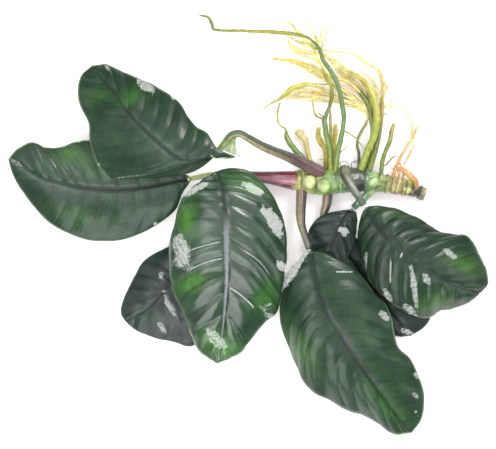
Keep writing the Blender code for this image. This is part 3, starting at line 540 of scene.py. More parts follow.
def leaf_finish(name, tones):
    """Living leaf: a waxy green skin with a film of water. Deep green flesh, a grey midrib."""
    material = bpy.data.materials.new(name)
    material.use_nodes = True
    tree = material.node_tree
    shader = tree.nodes["Principled BSDF"]
    phase = attribute(tree, "phase")
    reach = attribute(tree, "reach")
    edge = attribute(tree, "edge")
    along = attribute(tree, "along")
    # Flesh: patches of some 12 mm, mottling of 2 mm, and fresh light green where it is young.
    patches = ramp(tree, noise(tree, 85.0, 4.0, 0.6), [(0.36, tones[0]), (0.52, tones[1]), (0.68, tones[2])])
    fine = ramp(tree, noise(tree, 520.0, 2.0), [(0.3, tones[0]), (0.7, tones[2])])
    mottled = blend_colours(tree, 0.25, patches, fine)
    young = maths(tree, "MULTIPLY", attribute(tree, "fresh"), noise(tree, 240.0, 3.0))
    young = maths(tree, "MULTIPLY", young, 1.7, True)
    old = maths(tree, "MULTIPLY", attribute(tree, "age"), 0.75)
    flesh = blend_colours(tree, old, blend_colours(tree, young, mottled, tones[3]), tones[4])
    # Side veins are sunk, and their grooves are painted dark: painted shade. Finer ones run beside them, three
    # or four to each pillow.
    between = maths(tree, "FRACT", phase)
    near = maths(tree, "MINIMUM", between, maths(tree, "SUBTRACT", 1.0, between))
    groove_shade = ramp(tree, near, [(0.0, 1.0), (0.03, 0.7), (0.08, 0.0)], "EASE")
    groove_shade = maths(tree, "MULTIPLY", groove_shade, ramp(tree, reach, [(0.0, 1.0), (1.0, 0.2)]))
    groove_shaded = blend_colours(tree, maths(tree, "MULTIPLY", groove_shade, 0.7), flesh, tones[4])
    wobble = maths(tree, "MULTIPLY", noise(tree, 160.0, 2.0), 3.0)
    turn = maths(tree, "ADD", maths(tree, "MULTIPLY", phase, 25.0), wobble)
    streak = maths(tree, "MULTIPLY", maths(tree, "ADD", maths(tree, "SINE", turn), 1.0), 0.5)
    streak = maths(tree, "MULTIPLY", streak, noise(tree, 300.0, 2.0))
    lined = blend_colours(tree, maths(tree, "MULTIPLY", streak, 0.12), groove_shaded, tones[5])
    # The midrib is a grey band, broad at the stalk; on the centre leaf it is painted pale lilac grey, a
    # painted sheen. A thin pale line runs round the margin, a painted highlight where the edge catches the
    # light.
    width = ramp(tree, along, [(0.0, 0.9), (0.5, 0.6), (1.0, 0.16)])
    width = maths(tree, "MULTIPLY", width, 3.0)
    ragged = maths(tree, "MULTIPLY", maths(tree, "SUBTRACT", noise(tree, 400.0, 4.0), 0.5), 1.1)
    ragged = maths(tree, "ADD", maths(tree, "DIVIDE", attribute(tree, "millimetres"), width), ragged)
    rib = ramp(tree, ragged, [(0.3, 1.0), (0.95, 0.0)], "EASE")
    midrib_grey_and_sheen = blend_colours(tree, attribute(tree, "midrib_sheen_paint"), tones[6], tones[10])
    strong = maths(tree, "ADD", maths(tree, "MULTIPLY", attribute(tree, "midrib_sheen_paint"), 0.25), 0.6)
    ribbed = blend_colours(tree, maths(tree, "MULTIPLY", rib, strong), lined, midrib_grey_and_sheen)
    # Painted highlight: a pale line along the margin, where the edge catches the light.
    painted_margin_highlight = ramp(tree, edge, [(0.0, 1.0), (0.35, 0.6), (0.8, 0.0)])
    margin_highlighted = blend_colours(tree, maths(tree, "MULTIPLY", painted_margin_highlight, 0.6), ribbed, tones[7])
    below = ramp(tree, noise(tree, 120.0), [(0.3, tones[8]), (0.7, tones[9])])
    tree.links.new(blend_colours(tree, attribute(tree, "under"), margin_highlighted, below), shader.inputs[0])
    # Cells and small veins, 0.3 to 1 mm, only just show in the wax.
    spot = add_node(tree, "ShaderNodeTexCoord").outputs["Object"]
    cells = add_node(tree, "ShaderNodeTexVoronoi", {"Vector": spot, "Scale": 1400.0})
    ribs = maths(tree, "MULTIPLY", streak, 0.35)
    relief = maths(tree, "ADD", maths(tree, "MULTIPLY", cells.outputs[0], 0.12), ribs)
    relief = maths(tree, "ADD", relief, maths(tree, "MULTIPLY", noise(tree, 420.0, 4.0), 0.6))
    bump = add_node(tree, "ShaderNodeBump", {"Strength": 0.3, "Distance": 0.0003, "Height": relief})
    tree.links.new(bump.outputs[0], shader.inputs["Normal"])
    satin = ramp(tree, noise(tree, 140.0, 3.0, 0.6), [(0.35, 0.5), (0.65, 0.34)])
    tree.links.new(satin, shader.inputs["Roughness"])
    shader.inputs["IOR"].default_value = 1.5
    shader.inputs["Specular IOR Level"].default_value = 0.2
    # Water lies in flat films with a sharp edge, and in a line beside some of the sunk veins.
    # A film leans on its own way. Elsewhere the leaf is only damp.
    film = maths(tree, "MULTIPLY", noise(tree, 240.0, 4.0, 0.6), 1.0)
    film = maths(tree, "ADD", attribute(tree, "wet"), maths(tree, "SUBTRACT", film, 0.5))
    film = ramp(tree, film, [(0.33, 0.0), (0.4, 0.9), (0.7, 1.0)])
    beside = maths(tree, "ABSOLUTE", maths(tree, "SUBTRACT", between, 0.07))
    line = ramp(tree, beside, [(0.025, 1.0), (0.05, 0.0)])
    line = maths(tree, "MULTIPLY", line, attribute(tree, "bead"))
    film = maths(tree, "MAXIMUM", film, line)
    # It is dampest where a pillow rises from its vein, and dark on the far side of the pillow.
    side = ramp(tree, between, [(0.0, -0.3), (0.1, 0.2), (0.5, 0.3), (0.8, -0.2), (1.0, -0.4)], "EASE")
    side = maths(tree, "MULTIPLY", side, attribute(tree, "contrast"))
    uneven = maths(tree, "MULTIPLY", maths(tree, "SUBTRACT", noise(tree, 150.0, 5.0, 0.65), 0.5), 0.7)
    damp = maths(tree, "ADD", attribute(tree, "sheen"), maths(tree, "ADD", side, uneven))
    damp = ramp(tree, damp, [(0.3, 0.04), (0.5, 0.62), (0.9, 1.0)])
    damp = maths(tree, "MULTIPLY", damp, attribute(tree, "gloss"))
    dull = maths(tree, "MULTIPLY", rib, maths(tree, "SUBTRACT", 0.75, attribute(tree, "midrib_sheen_paint")), True)
    damp = maths(tree, "MULTIPLY", damp, maths(tree, "SUBTRACT", 1.0, dull))
    tree.links.new(maths(tree, "MAXIMUM", film, damp), shader.inputs["Coat Weight"])
    shader.inputs["Coat Roughness"].default_value = 0.2
    shader.inputs["Coat IOR"].default_value = 1.6
    level = add_node(tree, "ShaderNodeCombineXYZ", {0: FILM_LEAN[0], 1: FILM_LEAN[1], 2: 0.94})
    ripple = add_node(tree, "ShaderNodeBump", {"Strength": 0.2, "Distance": 0.001})
    tree.links.new(noise(tree, 420.0, 3.0), ripple.inputs["Height"])
    tree.links.new(level.outputs[0], ripple.inputs["Normal"])
    lean = add_node(tree, "ShaderNodeMix", {0: film}, data_type="VECTOR")
    tree.links.new(bump.outputs[0], lean.inputs[4])
    tree.links.new(ripple.outputs[0], lean.inputs[5])
    tree.links.new(lean.outputs[1], shader.inputs["Coat Normal"])
    return material


LEAF_FINISHES = {
    "leaf": leaf_finish(
        "living_leaf_wet",
        ("12261a", "18331f", "1f4224", "45782a", "0a1811", "3f6340", "141d1c", "84a077",
         "6f8a62", "8aa37c", "74767c"),
    ),
    "leaf_dark": leaf_finish(
        "old_leaf_wet",
        ("121c1b", "172522", "1d2f2a", "264a26", "0a1210", "2f4038", "14181c", "4f6a54",
         "56705a", "6f8872", "3c4046"),
    ),
}


def soft_noise(x, y, size, seed):
    """Smooth uneven waves of about this size in millimetres, from -1 to 1."""
    chance = np.random.default_rng(seed)
    total = 0
    for _ in range(6):
        angle, shift = chance.uniform(0, 2 * np.pi, 2)
        pitch = size * chance.uniform(0.7, 1.6)
        total = total + np.sin((x * np.cos(angle) + y * np.sin(angle)) * 2 * np.pi / pitch + shift)
    return total / 3


def nearest_place(line, x, y):
    """How far along a line, from 0 to 1, it passes closest to a place seen from above."""
    where = np.linspace(0, 1, 2000)
    seen = smooth_line(line, where)[:, :2]
    return where[np.argmin(np.hypot(seen[:, 0] - x, seen[:, 1] - y))]


def leaf_sheet(leaf, seed):
    """The blade's middle surface: an array of rows, columns and 3, and what is where on it."""
    midrib = placed(leaf["midrib"])
    rows = ROWS_PER_VEIN * max(len(leaf["left_veins"]), len(leaf["right_veins"]))
    along = np.concatenate([np.zeros(BASAL_ROWS), np.linspace(0, 1, rows)[1:]])
    rows = len(along)
    basal_row = np.minimum(np.arange(rows) / (BASAL_ROWS - 1), 1)
    across = np.linspace(0, 1, HALF_COLUMNS + 1) ** 1.2
    middle = smooth_line(midrib, along)
    ahead = unit(smooth_line(midrib, along + 0.01) - smooth_line(midrib, along - 0.01))
    sheet = np.zeros((rows, 2 * HALF_COLUMNS + 1, 3))
    keys = ("phase", "reach", "millimetres", "edge", "bead", "contrast")
    facts = {key: np.zeros(sheet.shape[:2]) for key in keys}
    lift = np.zeros(sheet.shape[:2])
    for index, (side, edge) in enumerate(((1, "left"), (-1, "right"))):
        # Each side vein ties a place on the midrib to a place on the edge. Rows run with them.
        whole_edge = [leaf["midrib"][0], *leaf[edge], leaf["midrib"][-1]]
        starts = [nearest_place(leaf["midrib"], *vein[:2]) for vein in leaf[edge + "_veins"]]
        ends = [nearest_place(whole_edge, *vein[2:]) for vein in leaf[edge + "_veins"]]
        slope = (ends[1] - ends[0]) / (starts[1] - starts[0])
        basal = max(0.06, ends[0] - slope * starts[0])
        place = np.interp(along, [0, *starts, 1], [basal, *ends, 1])
        for _ in range(6):
            place[1:-1] = (place[:-2] + 2 * place[1:-1] + place[2:]) / 4
        place = np.where(basal_row < 1, basal * basal_row, np.maximum(place, basal))
        gap = (1 - starts[0]) / (len(starts) + 0.5)
        first = 1 - starts[0] / (starts[1] - starts[0])
        last = len(starts) + (1 - starts[-1]) / gap
        phase = np.interp(along, [0, *starts, 1], [first, *range(1, len(starts) + 1), last])
        phase = phase - (1 - basal_row) * 2.4
        pillow = np.clip(np.gradient(along) / np.maximum(np.gradient(phase), 1e-4) / 0.1, 0.55, 1.3)
        pillow = np.where(basal_row < 1, 0.6, pillow)
        rim = smooth_line(placed(whole_edge), place)
        reach = rim - middle
        size = np.linalg.norm(reach, axis=1, keepdims=True)
        up = unit(np.cross(ahead, reach) * side)
        fixed = BASAL_ROWS + 2
        up[:fixed] = up[fixed]
        bow = leaf["bow"][index] * np.clip(along * 8, 0, 1)[:, None]
        for k, s in enumerate(across):
            column = HALF_COLUMNS - side * k
            arch = 4 * s * (1 - s) * size
            line = middle + reach * s + up * leaf["crown"][index] * arch - ahead * bow * arch
            sheet[:, column] = line
            x, y = line[:, 0] / MM, line[:, 1] / MM
            bent = phase + 0.1 * soft_noise(x, y, 22, seed + index) * min(1, 3 * s)
            between = bent % 1
            puff = np.sin(np.pi * between**RISE)
            mound = min(1, s / 0.3) ** 0.8 * (1 - 0.55 * s**4) * (0.35 + 0.65 * basal_row)
            mound = mound * np.clip((1.05 - along) / 0.2, 0, 1) * pillow
            lift[:, column] = (puff - 0.6) * mound * QUILT_DEPTH * leaf["quilt"][index]
            facts["contrast"][:, column] = leaf["contrast"][index]
            lift[:, column] += 0.35 * soft_noise(x, y, 17, seed + 5) * s
            facts["phase"][:, column] = bent
            facts["reach"][:, column] = s
            facts["millimetres"][:, column] = s * size[:, 0] / MM
            facts["edge"][:, column] = (1 - s) * size[:, 0] / MM
            for where, number, inner, outer, strength in leaf["beads"]:
                fade = np.clip(min(s - inner, outer - s) / 0.06, 0, 1) * strength
                if where == edge:
                    facts["bead"][:, column] += fade * (np.abs(bent - number) < 0.45)
    facts["along"] = np.repeat(along[:, None], sheet.shape[1], 1)
    lift -= 0.5 * np.exp(-((facts["millimetres"] / 1.2) ** 2)) * (1 - 0.6 * facts["along"])
    for key in ("age", "gloss"):
        facts[key] = np.full(sheet.shape[:2], leaf[key])
    # How much painted sheen, pale lilac grey, lies on the midrib: none near the stalk.
    facts["midrib_sheen_paint"] = leaf["midrib_sheen_paint"] * np.clip((facts["along"] - 0.26) / 0.12, 0, 1)
    return sheet, lift * MM, facts


def spots(sheet, marks, mix=np.maximum):
    """How much each place lies in soft ellipses: x, y, half length, half width, angle, strength."""
    amount = np.zeros(sheet.shape[:2])
    for x, y, length, width, angle, strength in marks:
        turn = np.radians(angle)
        dx = sheet[..., 0] / MM - x
        dy = sheet[..., 1] / MM - y
        long_way = (dx * np.cos(turn) + dy * np.sin(turn)) / length
        cross_way = (dy * np.cos(turn) - dx * np.sin(turn)) / width
        amount = mix(amount, strength * np.exp(-0.7 * (long_way**2 + cross_way**2)))
    return amount


def leaf_blade(name, leaf, seed):
    sheet, lift, facts = leaf_sheet(leaf, seed)
    rows, columns = lift.shape
    normal = unit(np.cross(np.gradient(sheet, axis=1), np.gradient(sheet, axis=0)))
    normal[: BASAL_ROWS // 3] = normal[BASAL_ROWS // 3]
    top = sheet + normal * lift[..., None]
    thick = BLADE_THICK + (RIM_THICK - BLADE_THICK) * facts["reach"] ** 4
    keel = KEEL_DEPTH * np.exp(-((facts["millimetres"] / KEEL_WIDTH) ** 2))
    thick = thick + keel * (1.05 - facts["along"]) * np.clip(12 * facts["along"], 0, 1)
    under = top - normal * (thick[..., None] * MM)
    points = np.concatenate([top.reshape(-1, 3), under.reshape(-1, 3)])
    count = rows * columns
    corner = np.arange(count).reshape(rows, columns)
    quads = np.stack([corner[:-1, :-1], corner[:-1, 1:], corner[1:, 1:], corner[1:, :-1]], -1)
    quads = quads.reshape(-1, 4)
    loop = np.concatenate([corner[:, 0], corner[-1, 1:], corner[-2::-1, -1], corner[0, -2:0:-1]])
    rim = np.stack([loop, np.roll(loop, -1), np.roll(loop, -1) + count, loop + count], -1)
    faces = np.concatenate([quads, quads[:, ::-1] + count, rim])
    mesh = bpy.data.meshes.new(name)
    mesh.from_pydata(points.tolist(), [], faces.tolist())
    facts["fresh"] = spots(sheet, leaf["fresh"])
    facts["wet"] = spots(sheet, leaf["wet"])
    facts["sheen"] = np.clip(leaf["sheen"] + spots(sheet, leaf["sheens"], np.add), 0.02, 1)
    for key, values in facts.items():
        store = mesh.attributes.new(key, "FLOAT", "POINT")
        store.data.foreach_set("value", np.tile(values.reshape(-1), 2).astype(np.float32))
    store = mesh.attributes.new("under", "FLOAT", "POINT")
    store.data.foreach_set("value", np.repeat([0.0, 1.0], count).astype(np.float32))
    bm = bmesh.new()
    bm.from_mesh(mesh)
    bmesh.ops.remove_doubles(bm, verts=bm.verts, dist=2e-6)
    bmesh.ops.recalc_face_normals(bm, faces=bm.faces)
    bm.to_mesh(mesh)
    bm.free()
    mesh.shade_smooth()
    blade = bpy.data.objects.new(name, mesh)
    bpy.context.scene.collection.objects.link(blade)
    mesh.materials.append(LEAF_FINISHES[leaf["finish"]])
    return blade


for seed, (leaf_name, leaf) in enumerate(LEAVES.items()):
    blade = leaf_blade("living_blade_" + leaf_name, leaf, 10 * seed)
    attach(blade, "root")
    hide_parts("blade_" + leaf_name)


# The leaf stalks. Each is a stiff wet rod with fine ribs, green or flushed with purple and red.
# It clasps the rhizome with a wider foot, and runs on into the keel under its blade.

STALKS = {
    "upper_left": {
        "slot": "stalk_green",
        "top": ["7c6462", "76605e", "5a4e4a", "3a443c", "33483a", "3c5638", "4f7040", "9dbb6a",
                "8fb25c"],
        "low": ["7a5058", "6a4a4c", "5a4448", "948864", "948c68", "86865c", "6f7c48", "a0b86c",
                "a8c878"],
        "dark": 1.0,
        "low_side": (0, -1),
        "radii": [2.6, 3.2, 2.9, 2.4, 2.15, 1.9, 1.75, 1.8, 2.0, 1.8, 1.5],
        "path": [
            (38.5, 24.8, 7.5), (34.3, 27.5, 11.5), (25.8, 32.0, 16.5), (19.3, 34.8, 21.0), (8.3, 39.3, 28.0),
            (0.8, 43.4, 32.6), (-4.2, 46.2, 35.0), (-8.4, 45.5, 34.0), (-10.8, 42.6, 31.2),
            (-12.9, 40.2, 28.4), (-14.8, 37.6, 26.8),
        ],
    },
    "left": {
        "slot": "stalk_green",
        "top": ["9a5060", "8a6a5a", "8d9f60", "a6b878", "b4c484"],
        "low": ["b08088", "a08a70", "a8b478", "c4cc98", "ccd4a0"],
        "dark": 0.3,
        "low_side": (0, -1),
        "radii": [1.7, 1.6, 1.5, 1.5, 1.5, 1.4, 1.2, 1.0],
        "path": [
            (23.3, 23.8, 4.6), (10.8, 24.7, 6.2), (4.3, 25.0, 8.3), (-2.8, 25.3, 10.5),
            (-11.8, 25.8, 12.5), (-20.3, 25.3, 13.3), (-27.0, 24.0, 13.0),
            (-30.5, 23.2, 13.2),
        ],
    },
    "centre": {
        "slot": "stalk_red",
        "top": ["7a2438", "6a1a30", "4a1420", "40161e", "3c1c20"],
        "low": ["b88a90", "b4788a", "96606c", "6a4048", "5a4044"],
        "dark": 0.5,
        "low_side": (0, -1),
        "radii": [3.5, 3.1, 2.4, 1.9, 1.8, 1.7, 1.5],
        "path": [
            (23.3, 23.8, 9.6), (16.8, 24.2, 10.8), (10.8, 24.8, 13.0), (4.3, 25.3, 16.5),
            (-2.8, 25.6, 20.0), (-10.0, 26.0, 22.8), (-14.8, 26.2, 23.4),
        ],
    },
    "low_left": {
        "slot": "stalk_green",
        "top": ["8a4a58", "a06878", "7d8f68", "6f8a58", "5a7a50"],
        "low": ["b08088", "c090a0", "98a878", "88a068", "6a8a5c"],
        "dark": 0.2,
        "low_side": (0, -1),
        "radii": [1.5, 1.4, 1.4, 1.4, 1.3],
        "path": [
            (22.8, 19.3, 3.2), (14.5, 21.4, 2.3), (7.0, 22.6, 1.8), (0.5, 19.0, 1.6),
            (-5.5, 12.0, 1.7), (-11.5, 2.0, 2.6), (-17.0, -7.0, 6.0), (-20.0, -11.0, 8.0),
        ],
    },
    "lower_right": {
        "slot": "stalk_purple",
        "top": ["8a7458", "80745c", "8a8260", "747858", "4f5a4a"],
        "low": ["5a4440", "463a38", "40363a", "3a343c", "343a3e"],
        "dark": 0.5,
        "low_side": (1, 0),
        "radii": [2.7, 2.5, 2.4, 2.0, 1.7, 1.5],
        "path": [
            (26.8, 19.5, 7.5), (26.3, 12.0, 9.5), (26.1, 5.8, 12.0), (26.6, 0.5, 14.3),
            (28.2, -5.0, 17.0), (30.2, -11.2, 19.3),
        ],
    },
    "small_middle": {
        "slot": "stalk_green",
        "top": ["8fae6a", "6f8a64", "5c7860", "4a6454"],
        "low": ["a8c080", "88a078", "708a6c", "56705e"],
        "dark": 0.4,
        "low_side": (1, 0),
        "radii": [2.0, 1.9, 1.8, 1.6],
        "path": [(62.3, 19.0, 6.0), (58.8, 15.0, 6.5), (55.3, 11.8, 8.0), (52.6, 9.3, 9.2)],
    },
    "right": {
        "slot": "stalk_purple",
        "top": ["8a9a70", "6f7c60", "747460", "808470", "74786a", "56665a", "46544e"],
        "low": ["6a7450", "4a4c44", "3a3e3c", "484c4a", "5c6858", "54644e", "4a5a50"],
        "dark": 0.7,
        "low_side": (-0.7, -0.7),
        "radii": [2.6, 3.1, 2.4, 2.0, 1.9, 1.8, 1.6],
        "path": [
            (47.6, 26.5, 8.0), (48.4, 27.5, 11.0), (48.8, 24.5, 15.0), (50.8, 21.0, 16.7), (52.8, 17.8, 17.4),
            (55.3, 14.3, 17.8), (57.7, 10.5, 17.6),
        ],
    },
    "lowest": {
        "slot": "stalk_brown",
        "top": ["7a5c46", "8a7c68", "8c8874", "6a7258", "4a5a4c"],
        "low": ["4a3430", "40342e", "40362f", "3a3c34", "343e38"],
        "dark": 0.6,
        "low_side": (1, 0),
        "radii": [2.6, 2.3, 1.9, 1.6, 1.4],
        "path": [
            (39.8, 18.0, 6.5), (39.2, 11.5, 5.8), (37.8, 6.5, 5.0), (37.5, 2.0, 4.4),
            (39.0, -1.6, 4.0),
        ],
    },
}
STALK_SIDES = 40
STEP = 0.5  # millimetres between the rings of a stalk or of the rhizome


def skin_finish(name, roughness, specular, wrinkle, glow):
    """Wet living skin. Its colour is painted on the mesh, with streaks and cells over it."""
    material = bpy.data.materials.new(name)
    material.use_nodes = True
    tree = material.node_tree
    shader = tree.nodes["Principled BSDF"]
    paint = attribute(tree, "paint", "Color")
    blotch = ramp(tree, noise(tree, 380.0, 4.0, 0.6), [(0.3, 0.62), (0.7, 1.3)])
    tinted = blend_colours(tree, 0.8, paint, blotch, "MULTIPLY")
    cells = ramp(tree, noise(tree, 1500.0, 2.0), [(0.35, 0.8), (0.65, 1.15)])
    tree.links.new(blend_colours(tree, 0.5, tinted, cells, "MULTIPLY"), shader.inputs[0])
    relief = maths(tree, "ADD", noise(tree, 700.0, 3.0), noise(tree, 240.0, 3.0))
    bump = add_node(tree, "ShaderNodeBump", {"Strength": wrinkle, "Distance": 0.0006, "Height": relief})
    tree.links.new(bump.outputs[0], shader.inputs["Normal"])
    shader.inputs["Roughness"].default_value = roughness
    shader.inputs["Specular IOR Level"].default_value = specular
    shader.inputs["Coat Weight"].default_value = 0.4
    shader.inputs["Coat Roughness"].default_value = 0.1
    shader.inputs["Subsurface Weight"].default_value = glow
    shader.inputs["Subsurface Scale"].default_value = 0.0015
    return material


STALK_SKIN = skin_finish("wet_leaf_stalk", 0.3, 0.5, 0.25, 0.0)


def rings_along(path, radii, sides):
    """Rings round a smooth path, with their first points level: centres, sizes and directions."""
    length = np.linalg.norm(np.diff(placed(path), axis=0), axis=1).sum() / MM
    where = np.linspace(0, 1, int(length / STEP) + 2)
    centres = smooth_line(placed(path), where)
    sizes = smooth_line(np.array(radii) * MM, where)
    ahead = unit(np.gradient(centres, axis=0))
    side = unit(np.cross(ahead, (0, 0, 1)))
    up = np.cross(side, ahead)
    turn = np.linspace(0, 2 * np.pi, sides, endpoint=False)
    out = side[:, None] * np.cos(turn)[:, None] + up[:, None] * np.sin(turn)[:, None]
    return where, turn, centres, sizes, out


def tones_along(tones, where):
    """Hex colours spread evenly along a length, read smoothly at each place."""
    colours = np.array([linear(tone) for tone in tones])
    spot = np.clip(where, 0, 1) * (len(tones) - 1)
    first = np.minimum(spot.astype(int), len(tones) - 2)
    part = (spot - first)[..., None]
    return colours[first] * (1 - part) + colours[first + 1] * part


def tube_mesh(name, rings, paint, material):
    """A closed tube through rings of points, painted at each point."""
    count, sides = rings.shape[:2]
    corner = np.arange(count * sides).reshape(count, sides)
    following = np.roll(corner, -1, axis=1)
    quads = np.stack([corner[:-1], following[:-1], following[1:], corner[1:]], -1).reshape(-1, 4)
    mesh = bpy.data.meshes.new(name)
    faces = quads.tolist() + [corner[0, ::-1].tolist(), corner[-1].tolist()]
    mesh.from_pydata(rings.reshape(-1, 3).tolist(), [], faces)
    store = mesh.attributes.new("paint", "FLOAT_COLOR", "POINT")
    store.data.foreach_set("color", paint.reshape(-1).astype(np.float32))
    bm = bmesh.new()
    bm.from_mesh(mesh)
    bmesh.ops.recalc_face_normals(bm, faces=bm.faces)
    bm.to_mesh(mesh)
    bm.free()
    mesh.shade_smooth()
    mesh.materials.append(material)
    made = bpy.data.objects.new(name, mesh)
    bpy.context.scene.collection.objects.link(made)
    return made


for stalk_name, stalk in STALKS.items():
    where, turn, centres, sizes, out = rings_along(stalk["path"], stalk["radii"], STALK_SIDES)
    ribs = 1 + 0.035 * np.cos(11 * turn) + 0.02 * np.cos(23 * turn + 1)
    rings = centres[:, None] + out * (sizes * ribs[None])[..., None]
    # One side is pale or flushed. A dark stripe parts it from the other, and both side edges are painted
    # darker: painted shade where the rod turns away from the light.
    upper = tones_along(stalk["top"], where)[:, None]
    lower = tones_along(stalk["low"], where)[:, None]
    across = (out[..., :2] @ np.array(stalk["low_side"], float))[..., None]
    part = np.clip(0.5 + 2.2 * (across - 0.15), 0, 1)
    paint = upper * (1 - part) + lower * part
    stripe = np.exp(-(((across - 0.2) / 0.2) ** 2)) * stalk["dark"] * 0.6
    fine = 0.12 * np.cos(11 * turn)[None, :, None] + 0.08 * np.cos(23 * turn + 1)[None, :, None]
    paint = paint * (1 - stripe) * (1 + fine) * (1 - 0.45 * np.abs(across) ** 5)
    paint[..., 3] = 1
    rod = tube_mesh("living_stalk_" + stalk_name, rings, paint, STALK_SKIN)
    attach(rod, "root")
    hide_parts("stalk_" + stalk_name)


# The wing is the thin pale end of the stalk's sheath, where the upper left blade meets its bend.

WING_NEAR = [(-6.3, 45.4, 34.3), (-8.6, 43.4, 32.6), (-11.2, 41.0, 30.4), (-13.8, 38.2, 29.2)]
WING_FAR = [(-5.9, 44.9, 34.4), (-6.4, 40.4, 32.4), (-5.4, 37.0, 30.6), (-3.6, 34.2, 29.6)]
where = np.linspace(0, 1, 40)
near, far = smooth_line(placed(WING_NEAR), where), smooth_line(placed(WING_FAR), where)
turn = np.linspace(0, 2 * np.pi, 40, endpoint=False)
reach = (far - near)[:, None] * 0.5
sag = np.sin(turn) * 0.22 - 0.9 * (1 - np.cos(turn) ** 2) * where[:, None]
rings = (near + far)[:, None] / 2 + reach * np.cos(turn)[None, :, None]
rings[..., 2] += sag * MM
paint = tones_along(["7d9a5c", "b4c890", "cddcb4", "dce6cc"], np.repeat(where[:, None], 40, 1))
paint *= (0.72 + 0.2 * np.cos(9 * np.cos(turn)) + 0.08 * np.cos(23 * np.cos(turn)))[None, :, None]
paint[..., 3] = 1
wing = tube_mesh("living_stalk_wing", rings, paint, STALK_SKIN)
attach(wing, "root")


# The rhizome is the thick creeping stem. It is fleshy and pale green, ringed with the scars of
# old leaves. It grows on at the left, and is brown, wrinkled and cut off at the right.

RHIZOME_PATH = [
    (21.5, 23.3, 7.4), (26.0, 22.8, 7.0), (33.0, 22.0, 6.7), (41.0, 22.3, 6.7),
    (49.0, 23.0, 6.5), (57.0, 23.0, 6.5), (66.0, 21.8, 5.6), (72.0, 20.5, 5.0),
    (78.5, 19.5, 4.9), (83.0, 17.8, 4.2), (88.3, 15.8, 3.8),
]
RHIZOME_RADII = [3.9, 5.5, 6.1, 6.5, 6.1, 5.9, 4.6, 4.2, 4.2, 2.9, 3.2]
RHIZOME_SIDES = 72
RHIZOME_TONES = [
    "94404a", "98984e", "a0a45c", "a8ac68", "8fa050", "8c9c50", "76944a", "7a9a54", "6c8a50",
    "66765a", "444e40", "36443a", "8ca870", "8aa060", "7c8c50", "98945c", "bcac7c", "a09060",
    "a8b058", "6a6a44", "30342a", "444436", "c4b88c",
]
SCARS = [26.0, 34.0, 44.3, 51.0, 57.6, 63.7, 67.8, 71.3, 73.4, 76.0, 78.6, 81.2, 84.5]
# Knobs are old leaf and flower bases: place in millimetres, turn round the axis, height, size.
KNOBS = [
    (30.0, 88.0, 1.9, 3.4), (37.0, 70.0, 1.0, 3.4), (47.5, 112.0, 1.5, 4.0),
    (62.0, 80.0, 1.0, 3.0), (66.5, 120.0, 0.9, 2.6), (79.5, 75.0, 0.9, 2.6),
]

where, turn, centres, sizes, out = rings_along(RHIZOME_PATH, RHIZOME_RADII, RHIZOME_SIDES)
X = (centres[:, 0] / MM)[:, None]
swell = np.zeros((len(where), RHIZOME_SIDES))
scar_marks_and_painted_shade = np.ones_like(swell)
# Each scar ring is darker, partly its own colour and partly painted shade in its groove, and the swell just
# past it is painted lighter: a painted highlight.
for number, scar in enumerate(SCARS):
    away = X - scar - 0.5 * np.cos(turn + 2 * number)[None]
    swell += 0.5 * np.exp(-(((away - 0.55) / 0.5) ** 2)) - 0.65 * np.exp(-((away / 0.4) ** 2))
    scar_marks_and_painted_shade *= 1 - 0.55 * np.exp(-((away / 0.38) ** 2))
    scar_marks_and_painted_shade *= 1 + 0.35 * np.exp(-(((away - 0.75) / 0.5) ** 2))
pale = np.zeros_like(swell)
for place, angle, height, size in KNOBS:
    round_it = ((np.degrees(turn)[None] - angle + 180) % 360 - 180) * np.pi / 180 * 5.8
    away = np.sqrt((X - place) ** 2 + round_it**2) / size
    swell += height * np.exp(-(away**4))
    swell -= 0.4 * np.exp(-(((away - 1.15) / 0.14) ** 2))
    # Painted shade in the groove round each knob.
    scar_marks_and_painted_shade *= 1 - 0.35 * np.exp(-(((away - 1.12) / 0.16) ** 2))
    pale += np.exp(-(away**4)) * (1.0 if place == 30.0 else 0.25)
rough = np.clip((X - 66) / 6, 0, 1)
swell += 0.3 * soft_noise(X, 6 * turn[None], 3.0, 3) * rough
swell += 0.3 * soft_noise(X, 6 * turn[None], 6.0, 4) + 0.12 * soft_noise(X, 6 * turn[None], 2.4, 7)
rings = centres[:, None] + out * (sizes + swell * MM)[..., None]
paint = np.repeat(tones_along(RHIZOME_TONES, where)[:, None], RHIZOME_SIDES, 1)
patch = 0.5 + 0.5 * soft_noise(X, 6 * turn[None], 8.0, 8)
cream = np.array(linear("d2d99a"))
paint += (cream - paint) * np.clip(pale, 0, 1)[..., None] * 0.85
paint *= (scar_marks_and_painted_shade * (0.6 + 0.55 * patch))[..., None]
paint[..., 3] = 1
RHIZOME_SKIN = skin_finish("wet_rhizome", 0.28, 0.55, 0.35, 0.08)
rhizome = tube_mesh("living_rhizome", rings, paint, RHIZOME_SKIN)
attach(rhizome, "root")
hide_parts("rhizome")


# The main roots are soft green and yellow cords, thicker where they are young. Each follows its
# own path from the rhizome and wanders a little. They are grown as tubes along curves.

